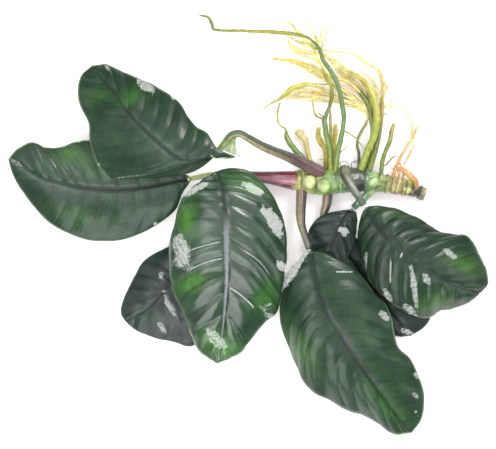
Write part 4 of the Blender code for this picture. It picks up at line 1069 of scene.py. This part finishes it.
ROOTS = {
    "long": {
        "slot": "root_green",
        "tones": ["8fa850", "7fa35a", "6f9a58", "5f8f52", "5a8a52", "5f8a4a", "6f9440", "93a838",
                  "a8b440", "b0b848", "96a83c", "7d9440", "8aa04c"],
        "radii": [1.5, 1.4, 1.25, 1.2, 1.15, 1.15, 1.1, 0.9, 0.6, 0.9, 1.1, 1.0, 0.8, 0.65, 0.9,
                  0.7, 0.35],
        "path": [
            (43.4, 27.0, 9.5), (44.6, 37.0, 13.5), (46.8, 46.5, 15.5), (47.5, 56.0, 16.0),
            (45.3, 68.5, 15.0), (41.8, 76.5, 14.0), (37.3, 83.0, 12.5), (35.0, 89.3, 11.0),
            (30.3, 93.8, 9.0), (25.8, 95.5, 7.5), (18.8, 96.5, 6.0), (6.8, 97.3, 4.0),
            (-2.8, 97.5, 3.0), (-16.4, 98.1, 1.6), (-18.2, 101.3, 1.3), (-20.3, 104.5, 1.0),
            (-24.8, 105.3, 0.9),
        ],
    },
    "forked": {
        "slot": "root_green",
        "tones": ["a3ba58", "8fae58", "7a9e5a", "6a8a52"],
        "radii": [1.4, 1.3, 1.3, 1.4, 1.2],
        "path": [
            (41.3, 27.0, 8.5), (40.8, 37.0, 10.0), (39.5, 42.7, 10.5), (38.3, 50.0, 10.0),
            (37.9, 53.5, 9.5),
        ],
    },
    "forked_right": {
        "slot": "root_yellow",
        "tones": ["6f8f58", "7f9a52", "b4bc5c", "c8c860"],
        "radii": [1.1, 1.05, 0.9, 0.9, 0.8, 0.6, 0.3],
        "path": [
            (37.9, 52.6, 9.5), (38.6, 55.0, 9.2), (40.9, 61.0, 8.0), (41.8, 67.0, 7.0), (40.8, 72.0, 6.0),
            (37.8, 77.0, 5.0), (35.8, 81.5, 4.0),
        ],
    },
    "forked_left": {
        "slot": "root_yellow",
        "tones": ["9aa860", "b4b86c", "d4d494"],
        "radii": [0.8, 0.6, 0.45, 0.5, 0.3],
        "path": [
            (37.9, 52.8, 9.4), (36.2, 54.0, 8.8), (33.8, 55.0, 7.5), (32.4, 58.0, 6.5),
            (31.8, 63.0, 5.0),
        ],
    },
    "slim": {
        "slot": "root_yellow",
        "tones": ["b4c458", "b9c860", "c9d070"],
        "radii": [0.9, 0.85, 0.8, 0.8, 0.4],
        "path": [
            (43.3, 27.5, 6.3), (42.3, 38.0, 7.0), (41.3, 45.0, 7.0), (40.9, 52.0, 6.0),
            (41.1, 58.0, 4.8),
        ],
    },
    "stub_middle": {
        "slot": "root_yellow",
        "tones": ["c4cc60", "d4d46c", "e8e48c"],
        "radii": [1.2, 1.3, 1.3, 1.1],
        "path": [(43.0, 27.5, 3.0), (42.6, 38.0, 3.2), (43.3, 45.0, 3.0), (43.6, 51.0, 2.5)],
    },
    "stub_bent": {
        "slot": "root_yellow",
        "tones": ["b4c058", "cfd066", "e2dc78", "e4e08c"],
        "radii": [1.3, 1.5, 1.5, 1.4, 1.0],
        "path": [
            (39.0, 27.0, 4.5), (38.8, 37.0, 4.0), (36.3, 42.0, 3.0), (34.8, 45.3, 2.6),
            (35.0, 49.3, 2.0),
        ],
    },
    "stub_pale": {
        "slot": "root_pale",
        "tones": ["d8d088", "ece4a4", "e8dc98", "f2edc4", "f4f0cc"],
        "radii": [1.2, 1.3, 1.35, 1.8, 2.4, 1.5],
        "path": [
            (34.0, 27.0, 4.5), (30.2, 34.0, 3.5), (29.2, 40.0, 3.0), (27.7, 44.0, 2.6),
            (25.5, 46.3, 2.4), (23.8, 47.5, 2.2),
        ],
    },
    "left": {
        "slot": "root_green",
        "tones": ["5f8050", "5c8450", "6f9a58", "8cb05c", "8fa850"],
        "radii": [1.4, 1.4, 1.45, 1.5, 1.4, 0.8],
        "path": [
            (31.0, 26.5, 5.5), (27.5, 33.5, 6.0), (24.0, 37.0, 5.6), (21.1, 40.8, 5.0),
            (19.3, 44.5, 4.4), (18.8, 47.3, 3.8),
        ],
    },
    "left_thread": {
        "slot": "root_yellow",
        "tones": ["b4c070", "d8dca0", "c4cc70", "a8b450"],
        "radii": [0.6, 0.6, 0.55, 0.55, 0.5, 0.45],
        "path": [
            (18.8, 47.0, 3.8), (18.3, 48.8, 3.4), (15.6, 50.5, 2.8), (14.5, 54.0, 2.2), (14.8, 57.5, 1.8),
            (15.9, 61.6, 1.5),
        ],
    },
    "arch_low": {
        "slot": "root_yellow",
        "tones": ["e8e498", "dce078", "d4da6a", "cfd460", "c4cc58", "d8dc88"],
        "radii": [0.7, 0.9, 1.1, 1.3, 1.2, 0.8, 0.5, 0.3],
        "path": [
            (38.0, 68.5, 3.0), (32.0, 70.5, 3.6), (28.5, 70.7, 3.8), (23.6, 69.5, 3.8),
            (19.2, 66.8, 3.6), (15.9, 63.8, 3.2), (11.9, 61.5, 2.0), (6.8, 58.6, 1.0),
        ],
    },
    "arch_high": {
        "slot": "root_yellow",
        "tones": ["ece8a0", "e8e68c", "e2e276", "e8e470", "e4e080"],
        "radii": [0.8, 1.1, 1.3, 1.1, 0.9, 0.5],
        "path": [
            (38.6, 73.0, 2.5), (36.4, 75.9, 2.8), (30.0, 79.4, 3.0), (25.1, 81.4, 2.8),
            (19.6, 82.9, 2.2), (11.8, 83.6, 1.2),
        ],
    },
    "broad": {
        "slot": "root_yellow",
        "tones": ["9cb850", "a8c058", "a8bf50", "c0cc58", "d0d464", "dcd86c", "e4dc7c"],
        "radii": [1.7, 1.65, 1.7, 1.8, 1.75, 1.6, 1.35, 1.1, 0.9, 0.6, 0.35],
        "path": [
            (56.0, 28.0, 9.5), (59.8, 38.3, 10.5), (62.4, 44.1, 10.5), (63.8, 50.0, 10.0),
            (64.2, 55.1, 9.5), (63.5, 61.0, 9.0), (62.4, 65.4, 8.5), (59.8, 70.2, 7.5),
            (57.2, 72.8, 6.5), (54.3, 74.2, 5.5), (46.9, 78.3, 3.0),
        ],
    },
    "broad_right": {
        "slot": "root_green",
        "tones": ["8fa850", "7c9048", "8a9c4c", "c4bc68", "e4dc94", "ece8a0", "f0ecb0"],
        "radii": [1.5, 1.5, 1.2, 1.1, 1.0, 0.85, 0.7, 0.6, 0.5, 0.4, 0.3],
        "path": [
            (60.5, 28.0, 6.0), (63.1, 37.2, 6.0), (64.9, 43.4, 5.5), (66.0, 50.0, 5.0),
            (66.8, 55.9, 4.8), (67.1, 60.3, 4.6), (67.5, 68.4, 4.2), (66.8, 75.0, 3.6),
            (65.3, 77.9, 3.0), (62.7, 79.7, 2.4), (57.2, 83.0, 1.2),
        ],
    },
    "broad_left": {
        "slot": "root_green",
        "tones": ["9cb454", "8aa54c", "90a850", "8c9c4c", "78904a", "8a9848"],
        "radii": [1.1, 1.2, 1.3, 1.4, 1.4, 1.3, 1.0, 0.4],
        "path": [
            (58.0, 28.0, 4.0), (60.8, 39.0, 5.0), (62.2, 47.0, 5.2), (61.8, 53.0, 5.0),
            (60.5, 59.5, 4.6), (57.9, 63.9, 4.0), (52.1, 71.2, 2.6), (48.5, 74.0, 1.6),
        ],
    },
    "dark_thin": {
        "slot": "root_green",
        "tones": ["70804c", "5f7050", "6f8450", "a0ac58", "90a050"],
        "radii": [0.8, 0.8, 0.75, 0.75, 0.7, 0.5],
        "path": [
            (55.4, 27.5, 4.5), (55.2, 36.0, 4.5), (54.3, 39.7, 4.2), (55.0, 44.1, 3.6),
            (56.8, 48.1, 2.8), (59.2, 51.6, 2.0),
        ],
    },
    "right": {
        "slot": "root_green",
        "tones": ["7a9450", "7c9850", "8aa454", "9cac58", "c0b070"],
        "radii": [1.1, 1.1, 1.05, 1.1, 1.2, 0.8],
        "path": [
            (66.0, 24.5, 6.0), (67.1, 32.4, 6.5), (68.6, 37.2, 6.2), (70.4, 41.9, 5.4),
            (71.5, 47.0, 4.2), (72.6, 51.1, 3.0),
        ],
    },
    "orange": {
        "slot": "root_orange",
        "tones": ["d8a868", "e8c088", "f0d4a4", "f2dcb0", "f4e4bc", "f4ecc8"],
        "radii": [0.9, 0.8, 0.75, 0.7, 0.65, 0.6, 0.5, 0.4, 0.3],
        "path": [
            (71.5, 23.0, 5.5), (74.8, 31.7, 6.0), (76.3, 35.3, 6.0), (79.2, 39.7, 5.6),
            (81.4, 44.1, 5.0), (82.2, 49.3, 4.4), (81.1, 52.9, 3.8), (78.9, 56.6, 3.0),
            (70.4, 63.2, 1.0),
        ],
    },
    "orange_fork": {
        "slot": "root_orange",
        "tones": ["f2e4bc", "f0e0a8", "f4ecc4"],
        "radii": [0.5, 0.65, 0.7, 0.3],
        "path": [(82.2, 43.0, 3.4), (82.9, 45.5, 3.0), (83.8, 48.3, 2.4), (85.5, 50.8, 1.5)],
    },
    "orange_stub": {
        "slot": "root_orange",
        "tones": ["b08a50", "c8985c", "dcb074", "e4bc80", "d8a868"],
        "radii": [1.2, 1.45, 1.4, 1.3, 0.9],
        "path": [
            (84.0, 18.5, 6.0), (83.4, 22.7, 6.5), (80.9, 24.9, 6.8), (78.2, 27.1, 6.6),
            (75.8, 29.2, 7.8),
        ],
    },
}


def group_socket(group, name, kind, value=None, way="INPUT"):
    made = group.interface.new_socket(name=name, in_out=way, socket_type=kind)
    if value is not None:
        made.default_value = value
    return made.identifier


def strand_nodes():
    """Nodes that turn curves into bundles of wandering strands, each a thin tapering tube."""
    group = bpy.data.node_groups.new("grow_strands", "GeometryNodeTree")
    group_socket(group, "Geometry", "NodeSocketGeometry")
    for name, kind, value in (
        ("Strands", "NodeSocketInt", 1), ("Sides", "NodeSocketInt", 10),
        ("Step", "NodeSocketFloat", 0.0008), ("Thickness", "NodeSocketFloat", 1.0),
        ("Spread", "NodeSocketFloat", 0.0), ("Spread Size", "NodeSocketFloat", 0.03),
        ("Wander", "NodeSocketFloat", 0.0002), ("Wander Size", "NodeSocketFloat", 0.006),
        ("Lumps", "NodeSocketFloat", 0.0001), ("Seed", "NodeSocketInt", 1),
        ("Material", "NodeSocketMaterial", None),
    ):
        group_socket(group, name, kind, value)
    group_socket(group, "Geometry", "NodeSocketGeometry", None, "OUTPUT")
    start = add_node(group, "NodeGroupInput").outputs
    copies = add_node(
        group, "GeometryNodeDuplicateElements",
        {"Geometry": start["Geometry"], "Amount": start["Strands"]}, domain="SPLINE",
    )
    even = add_node(
        group, "GeometryNodeResampleCurve", {"Curve": copies.outputs[0], "Length": start["Step"]},
        mode="LENGTH",
    )
    number = add_node(group, "GeometryNodeStoreNamedAttribute", {
        "Geometry": copies.outputs[0], "Name": "number", "Value": copies.outputs[1],
    }, data_type="FLOAT", domain="CURVE")
    group.links.new(number.outputs[0], even.inputs["Curve"])
    which = add_node(group, "GeometryNodeInputNamedAttribute", {"Name": "number"}, data_type="FLOAT")
    spot = add_node(group, "GeometryNodeInputPosition").outputs[0]
    part = add_node(group, "GeometryNodeSplineParameter").outputs[0]
    seed = maths(group, "ADD", start["Seed"], maths(group, "MULTIPLY", which.outputs[0], 7.31))
    geometry = even.outputs[0]
    for size, amount, shift in (("Spread Size", "Spread", 0.0), ("Wander Size", "Wander", 50.0)):
        frequency = maths(group, "DIVIDE", 1.0, start[size])
        if size == "Wander Size":
            where = maths(group, "ADD", maths(group, "MULTIPLY", seed, 3.7), shift)
        else:
            where = seed
        texture = add_node(group, "ShaderNodeTexNoise", {
            "Vector": spot, "W": where, "Scale": frequency, "Detail": 1.0,
        }, noise_dimensions="4D")
        away = add_node(group, "ShaderNodeVectorMath", {0: texture.outputs["Color"], 1: (0.5, 0.5, 0.5)},
                        operation="SUBTRACT")
        grown = maths(group, "MULTIPLY", start[amount], 4.0)
        grown = maths(group, "MULTIPLY", grown, maths(group, "MULTIPLY", part, 3.0, True))
        offset = add_node(group, "ShaderNodeVectorMath", {0: away.outputs[0], "Scale": grown},
                          operation="SCALE")
        geometry = add_node(group, "GeometryNodeSetPosition", {
            "Geometry": geometry, "Offset": offset.outputs[0],
        }).outputs[0]
    marked = add_node(group, "GeometryNodeStoreNamedAttribute", {
        "Geometry": geometry, "Name": "along", "Value": part,
    }, data_type="FLOAT", domain="POINT")
    ring = add_node(group, "GeometryNodeCurvePrimitiveCircle", {"Resolution": start["Sides"], "Radius": 1.0})
    thick = maths(group, "MULTIPLY", add_node(group, "GeometryNodeInputRadius").outputs[0], start["Thickness"])
    tube = add_node(group, "GeometryNodeCurveToMesh", {
        "Curve": marked.outputs[0], "Profile Curve": ring.outputs[0], "Scale": thick,
        "Fill Caps": True,
    })
    bumps = add_node(group, "ShaderNodeTexNoise", {"Vector": spot, "Scale": 450.0, "Detail": 3.0})
    height = maths(group, "SUBTRACT", bumps.outputs["Fac"], 0.5)
    height = maths(group, "MULTIPLY", height, maths(group, "MULTIPLY", start["Lumps"], 4.0))
    outward = add_node(group, "ShaderNodeVectorMath", {
        0: add_node(group, "GeometryNodeInputNormal").outputs[0], "Scale": height,
    }, operation="SCALE")
    lumpy = add_node(group, "GeometryNodeSetPosition", {
        "Geometry": tube.outputs[0], "Offset": outward.outputs[0],
    })
    smooth = add_node(group, "GeometryNodeSetShadeSmooth", {"Geometry": lumpy.outputs[0]})
    real = add_node(group, "GeometryNodeRealizeInstances", {"Geometry": smooth.outputs[0]})
    covered = add_node(group, "GeometryNodeSetMaterial", {
        "Geometry": real.outputs[0], "Material": start["Material"],
    })
    finish = add_node(group, "NodeGroupOutput")
    group.links.new(covered.outputs[0], finish.inputs[0])
    return group


STRANDS = strand_nodes()


ROOT_TINT = (0.68, 0.6, 0.42, 1.0)  # wet roots are browner and darker than their dry colours
THREAD_TINT = (0.8, 0.74, 0.5, 1.0)


def grow(name, curves, material, tones, tint, **sizes):
    """Grows strands along curves of (path, radii), and paints each from its start to its end."""
    curve = bpy.data.curves.new(name + "_path", "CURVE")
    curve.dimensions = "3D"
    for path, radii in curves:
        where = np.linspace(0, 1, 8 * len(path))
        points = smooth_line(placed(path), where)
        thick = smooth_line(np.array(radii) * MM, where)[:, 0]
        spline = curve.splines.new("POLY")
        spline.points.add(len(points) - 1)
        spline.points.foreach_set("co", np.c_[points, np.ones(len(points))].reshape(-1))
        spline.points.foreach_set("radius", thick)
    source = bpy.data.objects.new(name + "_path", curve)
    bpy.context.scene.collection.objects.link(source)
    growth = source.modifiers.new("growth", "NODES")
    growth.node_group = STRANDS
    sizes["Material"] = material
    for item in STRANDS.interface.items_tree:
        if item.in_out == "INPUT" and item.name in sizes:
            growth[item.identifier] = sizes[item.name]
    ready = source.evaluated_get(bpy.context.evaluated_depsgraph_get())
    mesh = bpy.data.meshes.new_from_object(ready)
    bpy.data.objects.remove(source)
    mesh.name = name
    along = np.zeros(len(mesh.vertices), np.float32)
    mesh.attributes["along"].data.foreach_get("value", along)
    store = mesh.attributes.new("paint", "FLOAT_COLOR", "POINT")
    paint = tones_along(tones, along) * tint
    store.data.foreach_set("color", paint.reshape(-1).astype(np.float32))
    made = bpy.data.objects.new(name, mesh)
    bpy.context.scene.collection.objects.link(made)
    return made


ROOT_SKIN = skin_finish("wet_root", 0.32, 0.5, 0.3, 0.1)
for number, (root_name, root) in enumerate(ROOTS.items()):
    cord = grow(
        "living_root_" + root_name, [(root["path"], root["radii"])], ROOT_SKIN, root["tones"],
        ROOT_TINT,
        **{"Sides": 14, "Step": 0.0006, "Wander": 0.00022, "Lumps": 0.00016, "Seed": number},
    )
    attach(cord, "root")
    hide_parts("root_" + root_name)


# Fine rootlets and root hairs hang between the main roots: threads of 0.3 to 1 mm, pale yellow
# and nearly clear where they are young, olive or brown where they are old. The plain ones are
# laid where they are seen. The rest stray from them in loose wavy locks, nearly on the table.

def seen(heights, places):
    """Places in half millimetres from the view's upper left corner, with even heights in mm."""
    levels = np.linspace(*heights, len(places))
    return [((u - 248.5) / 2, (226 - v) / 2, z) for (u, v), z in zip(places, levels)]


# Each group: its slot, its colours, how many strands grow on each thread and how far they stray,
# and its threads. A thread has a thickness, the heights of its two ends and its places.
THREADS = {
    "outer": ("root_pale", ["f8f0c0", "fbf4cc", "faf6cc", "f8ecbc"], 5, 1.3, [
        (0.42, (4.0, 2.0), [(321, 49), (330, 51), (338, 52), (346, 52), (353, 54), (360, 57),
                            (365, 63), (371, 66), (377, 69), (381, 75), (383, 83), (384, 91),
                            (381, 99), (381, 110)]),
        (0.3, (4.0, 2.5), [(332, 58), (337, 60), (342, 65), (348, 69), (353, 71), (360, 75),
                           (367, 82), (371, 91), (375, 103)]),
        (0.28, (2.0, 2.0), [(372, 112), (376, 100), (377, 90), (374, 81), (368, 75), (360, 71)]),
        (0.3, (3.0, 2.0), [(381, 110), (384, 107), (391, 106), (395, 109)]),
        (0.3, (3.0, 1.5), [(379, 118), (378, 108), (380, 98), (387, 88), (384, 80)]),
    ]),
    "tangle": ("root_pale", ["f4eeb4", "f8f0c4", "f8f4bc", "fcfae0"], 9, 2.3, [
        (0.4, (4.5, 3.0), [(374, 118), (373, 106), (371, 96), (366, 87), (360, 80), (352, 74),
                           (344, 70), (337, 68)]),
        (0.36, (4.0, 2.5), [(371, 120), (367, 112), (361, 104), (353, 97), (346, 92), (338, 88),
                            (330, 84), (322, 78), (314, 73), (304, 69)]),
        (0.36, (4.0, 2.5), [(370, 116), (364, 108), (356, 102), (347, 98), (338, 95), (328, 93),
                            (316, 92), (304, 91), (293, 94), (285, 98)]),
        (0.34, (4.0, 2.5), [(372, 110), (366, 98), (358, 89), (350, 84), (341, 81), (331, 78),
                            (322, 74), (312, 68), (301, 64), (290, 61)]),
        (0.3, (4.0, 2.0), [(368, 118), (363, 111), (355, 106), (345, 103), (334, 101), (322, 99),
                           (310, 98), (296, 97), (284, 97)]),
        (0.3, (3.5, 2.5), [(360, 90), (350, 80), (341, 73), (334, 64), (326, 56), (318, 50)]),
    ]),
    "top": ("root_pale", ["f6f2b0", "f4f4b4", "f8f8c8", "fefce6"], 5, 1.4, [
        (0.4, (5.0, 2.0), [(330, 92), (329, 82), (327, 74), (323, 67), (319, 61), (316, 52),
                           (311, 45), (304, 38), (300, 32), (296, 27), (291, 22)]),
        (0.34, (5.0, 2.0), [(322, 66), (314, 60), (305, 56), (298, 53), (291, 46), (287, 38)]),
        (0.3, (4.0, 2.0), [(317, 54), (308, 53), (300, 51), (294, 46), (288, 41)]),
        (0.3, (4.0, 2.0), [(316, 48), (308, 46), (302, 43), (294, 39), (286, 34)]),
        (0.3, (6.0, 3.0), [(318, 47), (316, 40), (314, 34), (309, 27), (305, 20)]),
        (0.22, (6.0, 3.0), [(318, 52), (323, 45), (325, 36), (330, 28)]),
        (0.2, (6.0, 3.0), [(318, 46), (320, 40), (322, 31), (328, 19)]),
        (0.26, (3.0, 1.5), [(304, 46), (303, 40), (299, 33), (295, 28), (288, 22), (275, 18)]),
    ]),
    "green": ("root_green", ["8f9c4c", "a0aa58", "b4b868", "c4c47c"], 1, 0.0, [
        (0.5, (6.0, 3.0), [(371, 112), (369, 118), (365, 124), (362, 129)]),
        (0.42, (5.6, 4.0), [(371, 108), (369, 98), (366, 92), (361, 88), (354, 84), (347, 76),
                            (338, 67)]),
        (0.4, (3.5, 5.0), [(345, 131), (350, 134), (357, 139), (361, 145), (366, 151)]),
        (0.36, (4.5, 3.0), [(329, 84), (324, 84.5), (319, 84), (313, 83.5)]),
        (0.45, (9.2, 5.0), [(324, 117), (319, 114), (316, 110)]),
        (0.4, (9.2, 5.0), [(323, 119), (319, 118), (316, 115), (314, 110), (313, 103)]),
        (0.42, (6.0, 3.5), [(329, 104), (330, 98), (330, 92), (329, 86)]),
        (0.3, (3.5, 3.0), [(338, 156), (342, 151), (347, 147), (344, 145)]),
        (0.3, (6.0, 4.0), [(384, 166), (388, 162), (392, 157), (396, 155)]),
        (0.4, (8.5, 6.0), [(318, 45), (312, 40), (304, 36.5)]),
        (0.36, (11.0, 8.0), [(317, 49), (314, 47), (311, 43)]),
        (0.3, (11.0, 8.0), [(320, 51), (322, 47), (323, 43)]),
    ]),
    "hair": ("root_pale", ["f0eac0", "f8f4d8", "fcf8e4"], 1, 0.0, [
        (0.24, (8.5, 2.0), [(322, 122), (318, 122), (314, 126), (312, 131), (310, 138),
                            (306, 143), (301, 148)]),
        (0.2, (1.5, 1.0), [(399, 165), (402, 157), (404, 148), (409, 138), (418, 127)]),
        (0.2, (1.5, 1.0), [(408, 160), (412, 152), (417, 141), (421, 137)]),
        (0.22, (2.0, 1.0), [(421, 184), (427, 186), (433, 190), (437, 194)]),
        (0.2, (5.0, 3.0), [(285, 34), (282, 29), (276, 27), (268, 26)]),
        (0.2, (4.0, 2.0), [(272, 32), (266, 28), (260, 24)]),
        (0.2, (4.0, 2.0), [(278, 33), (275, 40), (277, 46), (282, 54)]),
        (0.2, (2.5, 1.5), [(286, 59), (283, 55), (280, 52)]),
        (0.3, (3.0, 2.0), [(318, 160), (322, 159), (327, 160)]),
        (0.22, (2.0, 1.0), [(276, 102), (268, 105), (262, 110)]),
        (0.24, (3.0, 1.5), [(391, 130), (394, 121), (393, 113), (388, 108)]),
    ]),
    "orange": ("root_orange", ["d8a468", "ecc088", "f4d4a8", "f8e4c8"], 3, 0.7, [
        (0.26, (4.0, 3.0), [(361, 107), (355, 101), (349, 98), (344, 94)]),
        (0.24, (4.0, 3.0), [(358, 92), (350, 86), (343, 82), (338, 78)]),
        (0.22, (4.0, 3.0), [(328, 80), (322, 76), (315, 72), (306, 70)]),
        (0.22, (4.0, 3.0), [(328, 97), (320, 94), (310, 92), (300, 90)]),
        (0.3, (5.5, 2.0), [(394, 181), (393, 173), (395, 166), (400, 163)]),
        (0.28, (5.5, 3.0), [(397, 181), (399, 173), (396, 168), (391, 169)]),
        (0.28, (6.0, 3.0), [(402, 178), (404, 172), (401, 166), (398, 160)]),
        (0.26, (6.5, 3.0), [(410, 182), (412, 175), (408, 170), (403, 168)]),
        (0.3, (5.0, 3.5), [(404, 165), (408, 156), (412, 146), (413, 136)]),
    ]),
    "dark": ("root_green", ["3c3a30", "4c4a38", "5c5a40"], 1, 0.0, [
        (0.26, (10.0, 7.0), [(341, 167), (340, 164), (343, 161), (347, 162), (349, 165)]),
        (0.24, (10.0, 7.0), [(352, 168), (351, 164), (354, 162), (358, 164), (357, 168)]),
        (0.22, (10.0, 7.0), [(358, 168), (361, 164), (357, 161), (353, 162)]),
        (0.22, (7.0, 5.0), [(386, 166), (389, 162), (394, 157), (399, 157)]),
        (0.3, (5.0, 4.0), [(381, 116), (383, 113), (386, 114), (389, 118)]),
    ]),
}
for number, (group_name, (slot, tones, strands, stray, threads)) in enumerate(THREADS.items()):
    curves = [
        (seen(heights, places), [thick, thick * 0.95, thick * 0.8, thick * 0.45])
        for thick, heights, places in threads
    ]
    lock = grow(
        "rootlets_" + group_name, curves, ROOT_SKIN, tones, THREAD_TINT,
        **{"Strands": strands, "Sides": 7, "Step": 0.0008, "Spread": stray * MM,
           "Spread Size": 0.03, "Wander": 0.0009 if strands > 1 else 0.0002,
           "Wander Size": 0.009, "Lumps": 0.00003, "Seed": 40 + number},
    )
    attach(lock, "root")


# The stage is a white table, lit from below as well as above. The camera looks straight down.

bpy.ops.mesh.primitive_plane_add(size=3.0)
table = bpy.context.object
table.name = "table"
cloth = bpy.data.materials.new("matt_white_table")
cloth.use_nodes = True
cloth.node_tree.nodes["Principled BSDF"].inputs["Base Color"].default_value = linear("fbf8fa")
cloth.node_tree.nodes["Principled BSDF"].inputs["Roughness"].default_value = 0.9
cloth.node_tree.nodes["Principled BSDF"].inputs["Emission Color"].default_value = linear("fff2f8")
cloth.node_tree.nodes["Principled BSDF"].inputs["Emission Strength"].default_value = 0.25
table.data.materials.append(cloth)

for light_name, place, width, depth, brightness in (
    ("overhead", (0.0, 0.1, 1.1), 2.2, 2.2, 1.0),
    ("below", (-0.25, -0.95, 0.75), 0.9, 1.1, 3.4),
    ("left", (-0.85, 0.0, 0.8), 0.8, 1.2, 1.0),
    ("upper left", (-0.5, 0.05, 1.2), 0.35, 0.6, 2.2),
    ("window", (0.6, 0.8, 0.9), 0.9, 0.9, 2.4),
    ("glint", (0.5, 0.6, 1.0), 0.4, 0.4, 10.0),
    ("right", (0.95, -0.5, 0.65), 0.7, 0.8, 1.6),
):
    lamp = bpy.data.lights.new(light_name, "AREA")
    lamp.shape = "RECTANGLE"
    lamp.size = width
    lamp.size_y = depth
    lamp.energy = brightness * np.pi * width * depth
    stand = bpy.data.objects.new(light_name, lamp)
    stand.location = place
    stand.rotation_euler = Vector(place).to_track_quat("Z", "Y").to_euler()
    stand.visible_camera = False
    bpy.context.scene.collection.objects.link(stand)

world = bpy.data.worlds.new("studio")
world.use_nodes = True
world.node_tree.nodes["Background"].inputs[0].default_value = (0.96, 0.97, 1.0, 1)
world.node_tree.nodes["Background"].inputs[1].default_value = 0.3
bpy.context.scene.world = world
bpy.context.scene.view_settings.view_transform = "Standard"

camera_data = bpy.data.cameras.new("camera")
camera_data.sensor_width = 36.0
camera_data.lens = 36.0 * VIEW_HEIGHT / 248.0
camera = bpy.data.objects.new("camera", camera_data)
camera.location = (-0.25 * MM, 0.75 * MM, VIEW_HEIGHT * MM)
bpy.context.scene.collection.objects.link(camera)
bpy.context.scene.camera = camera
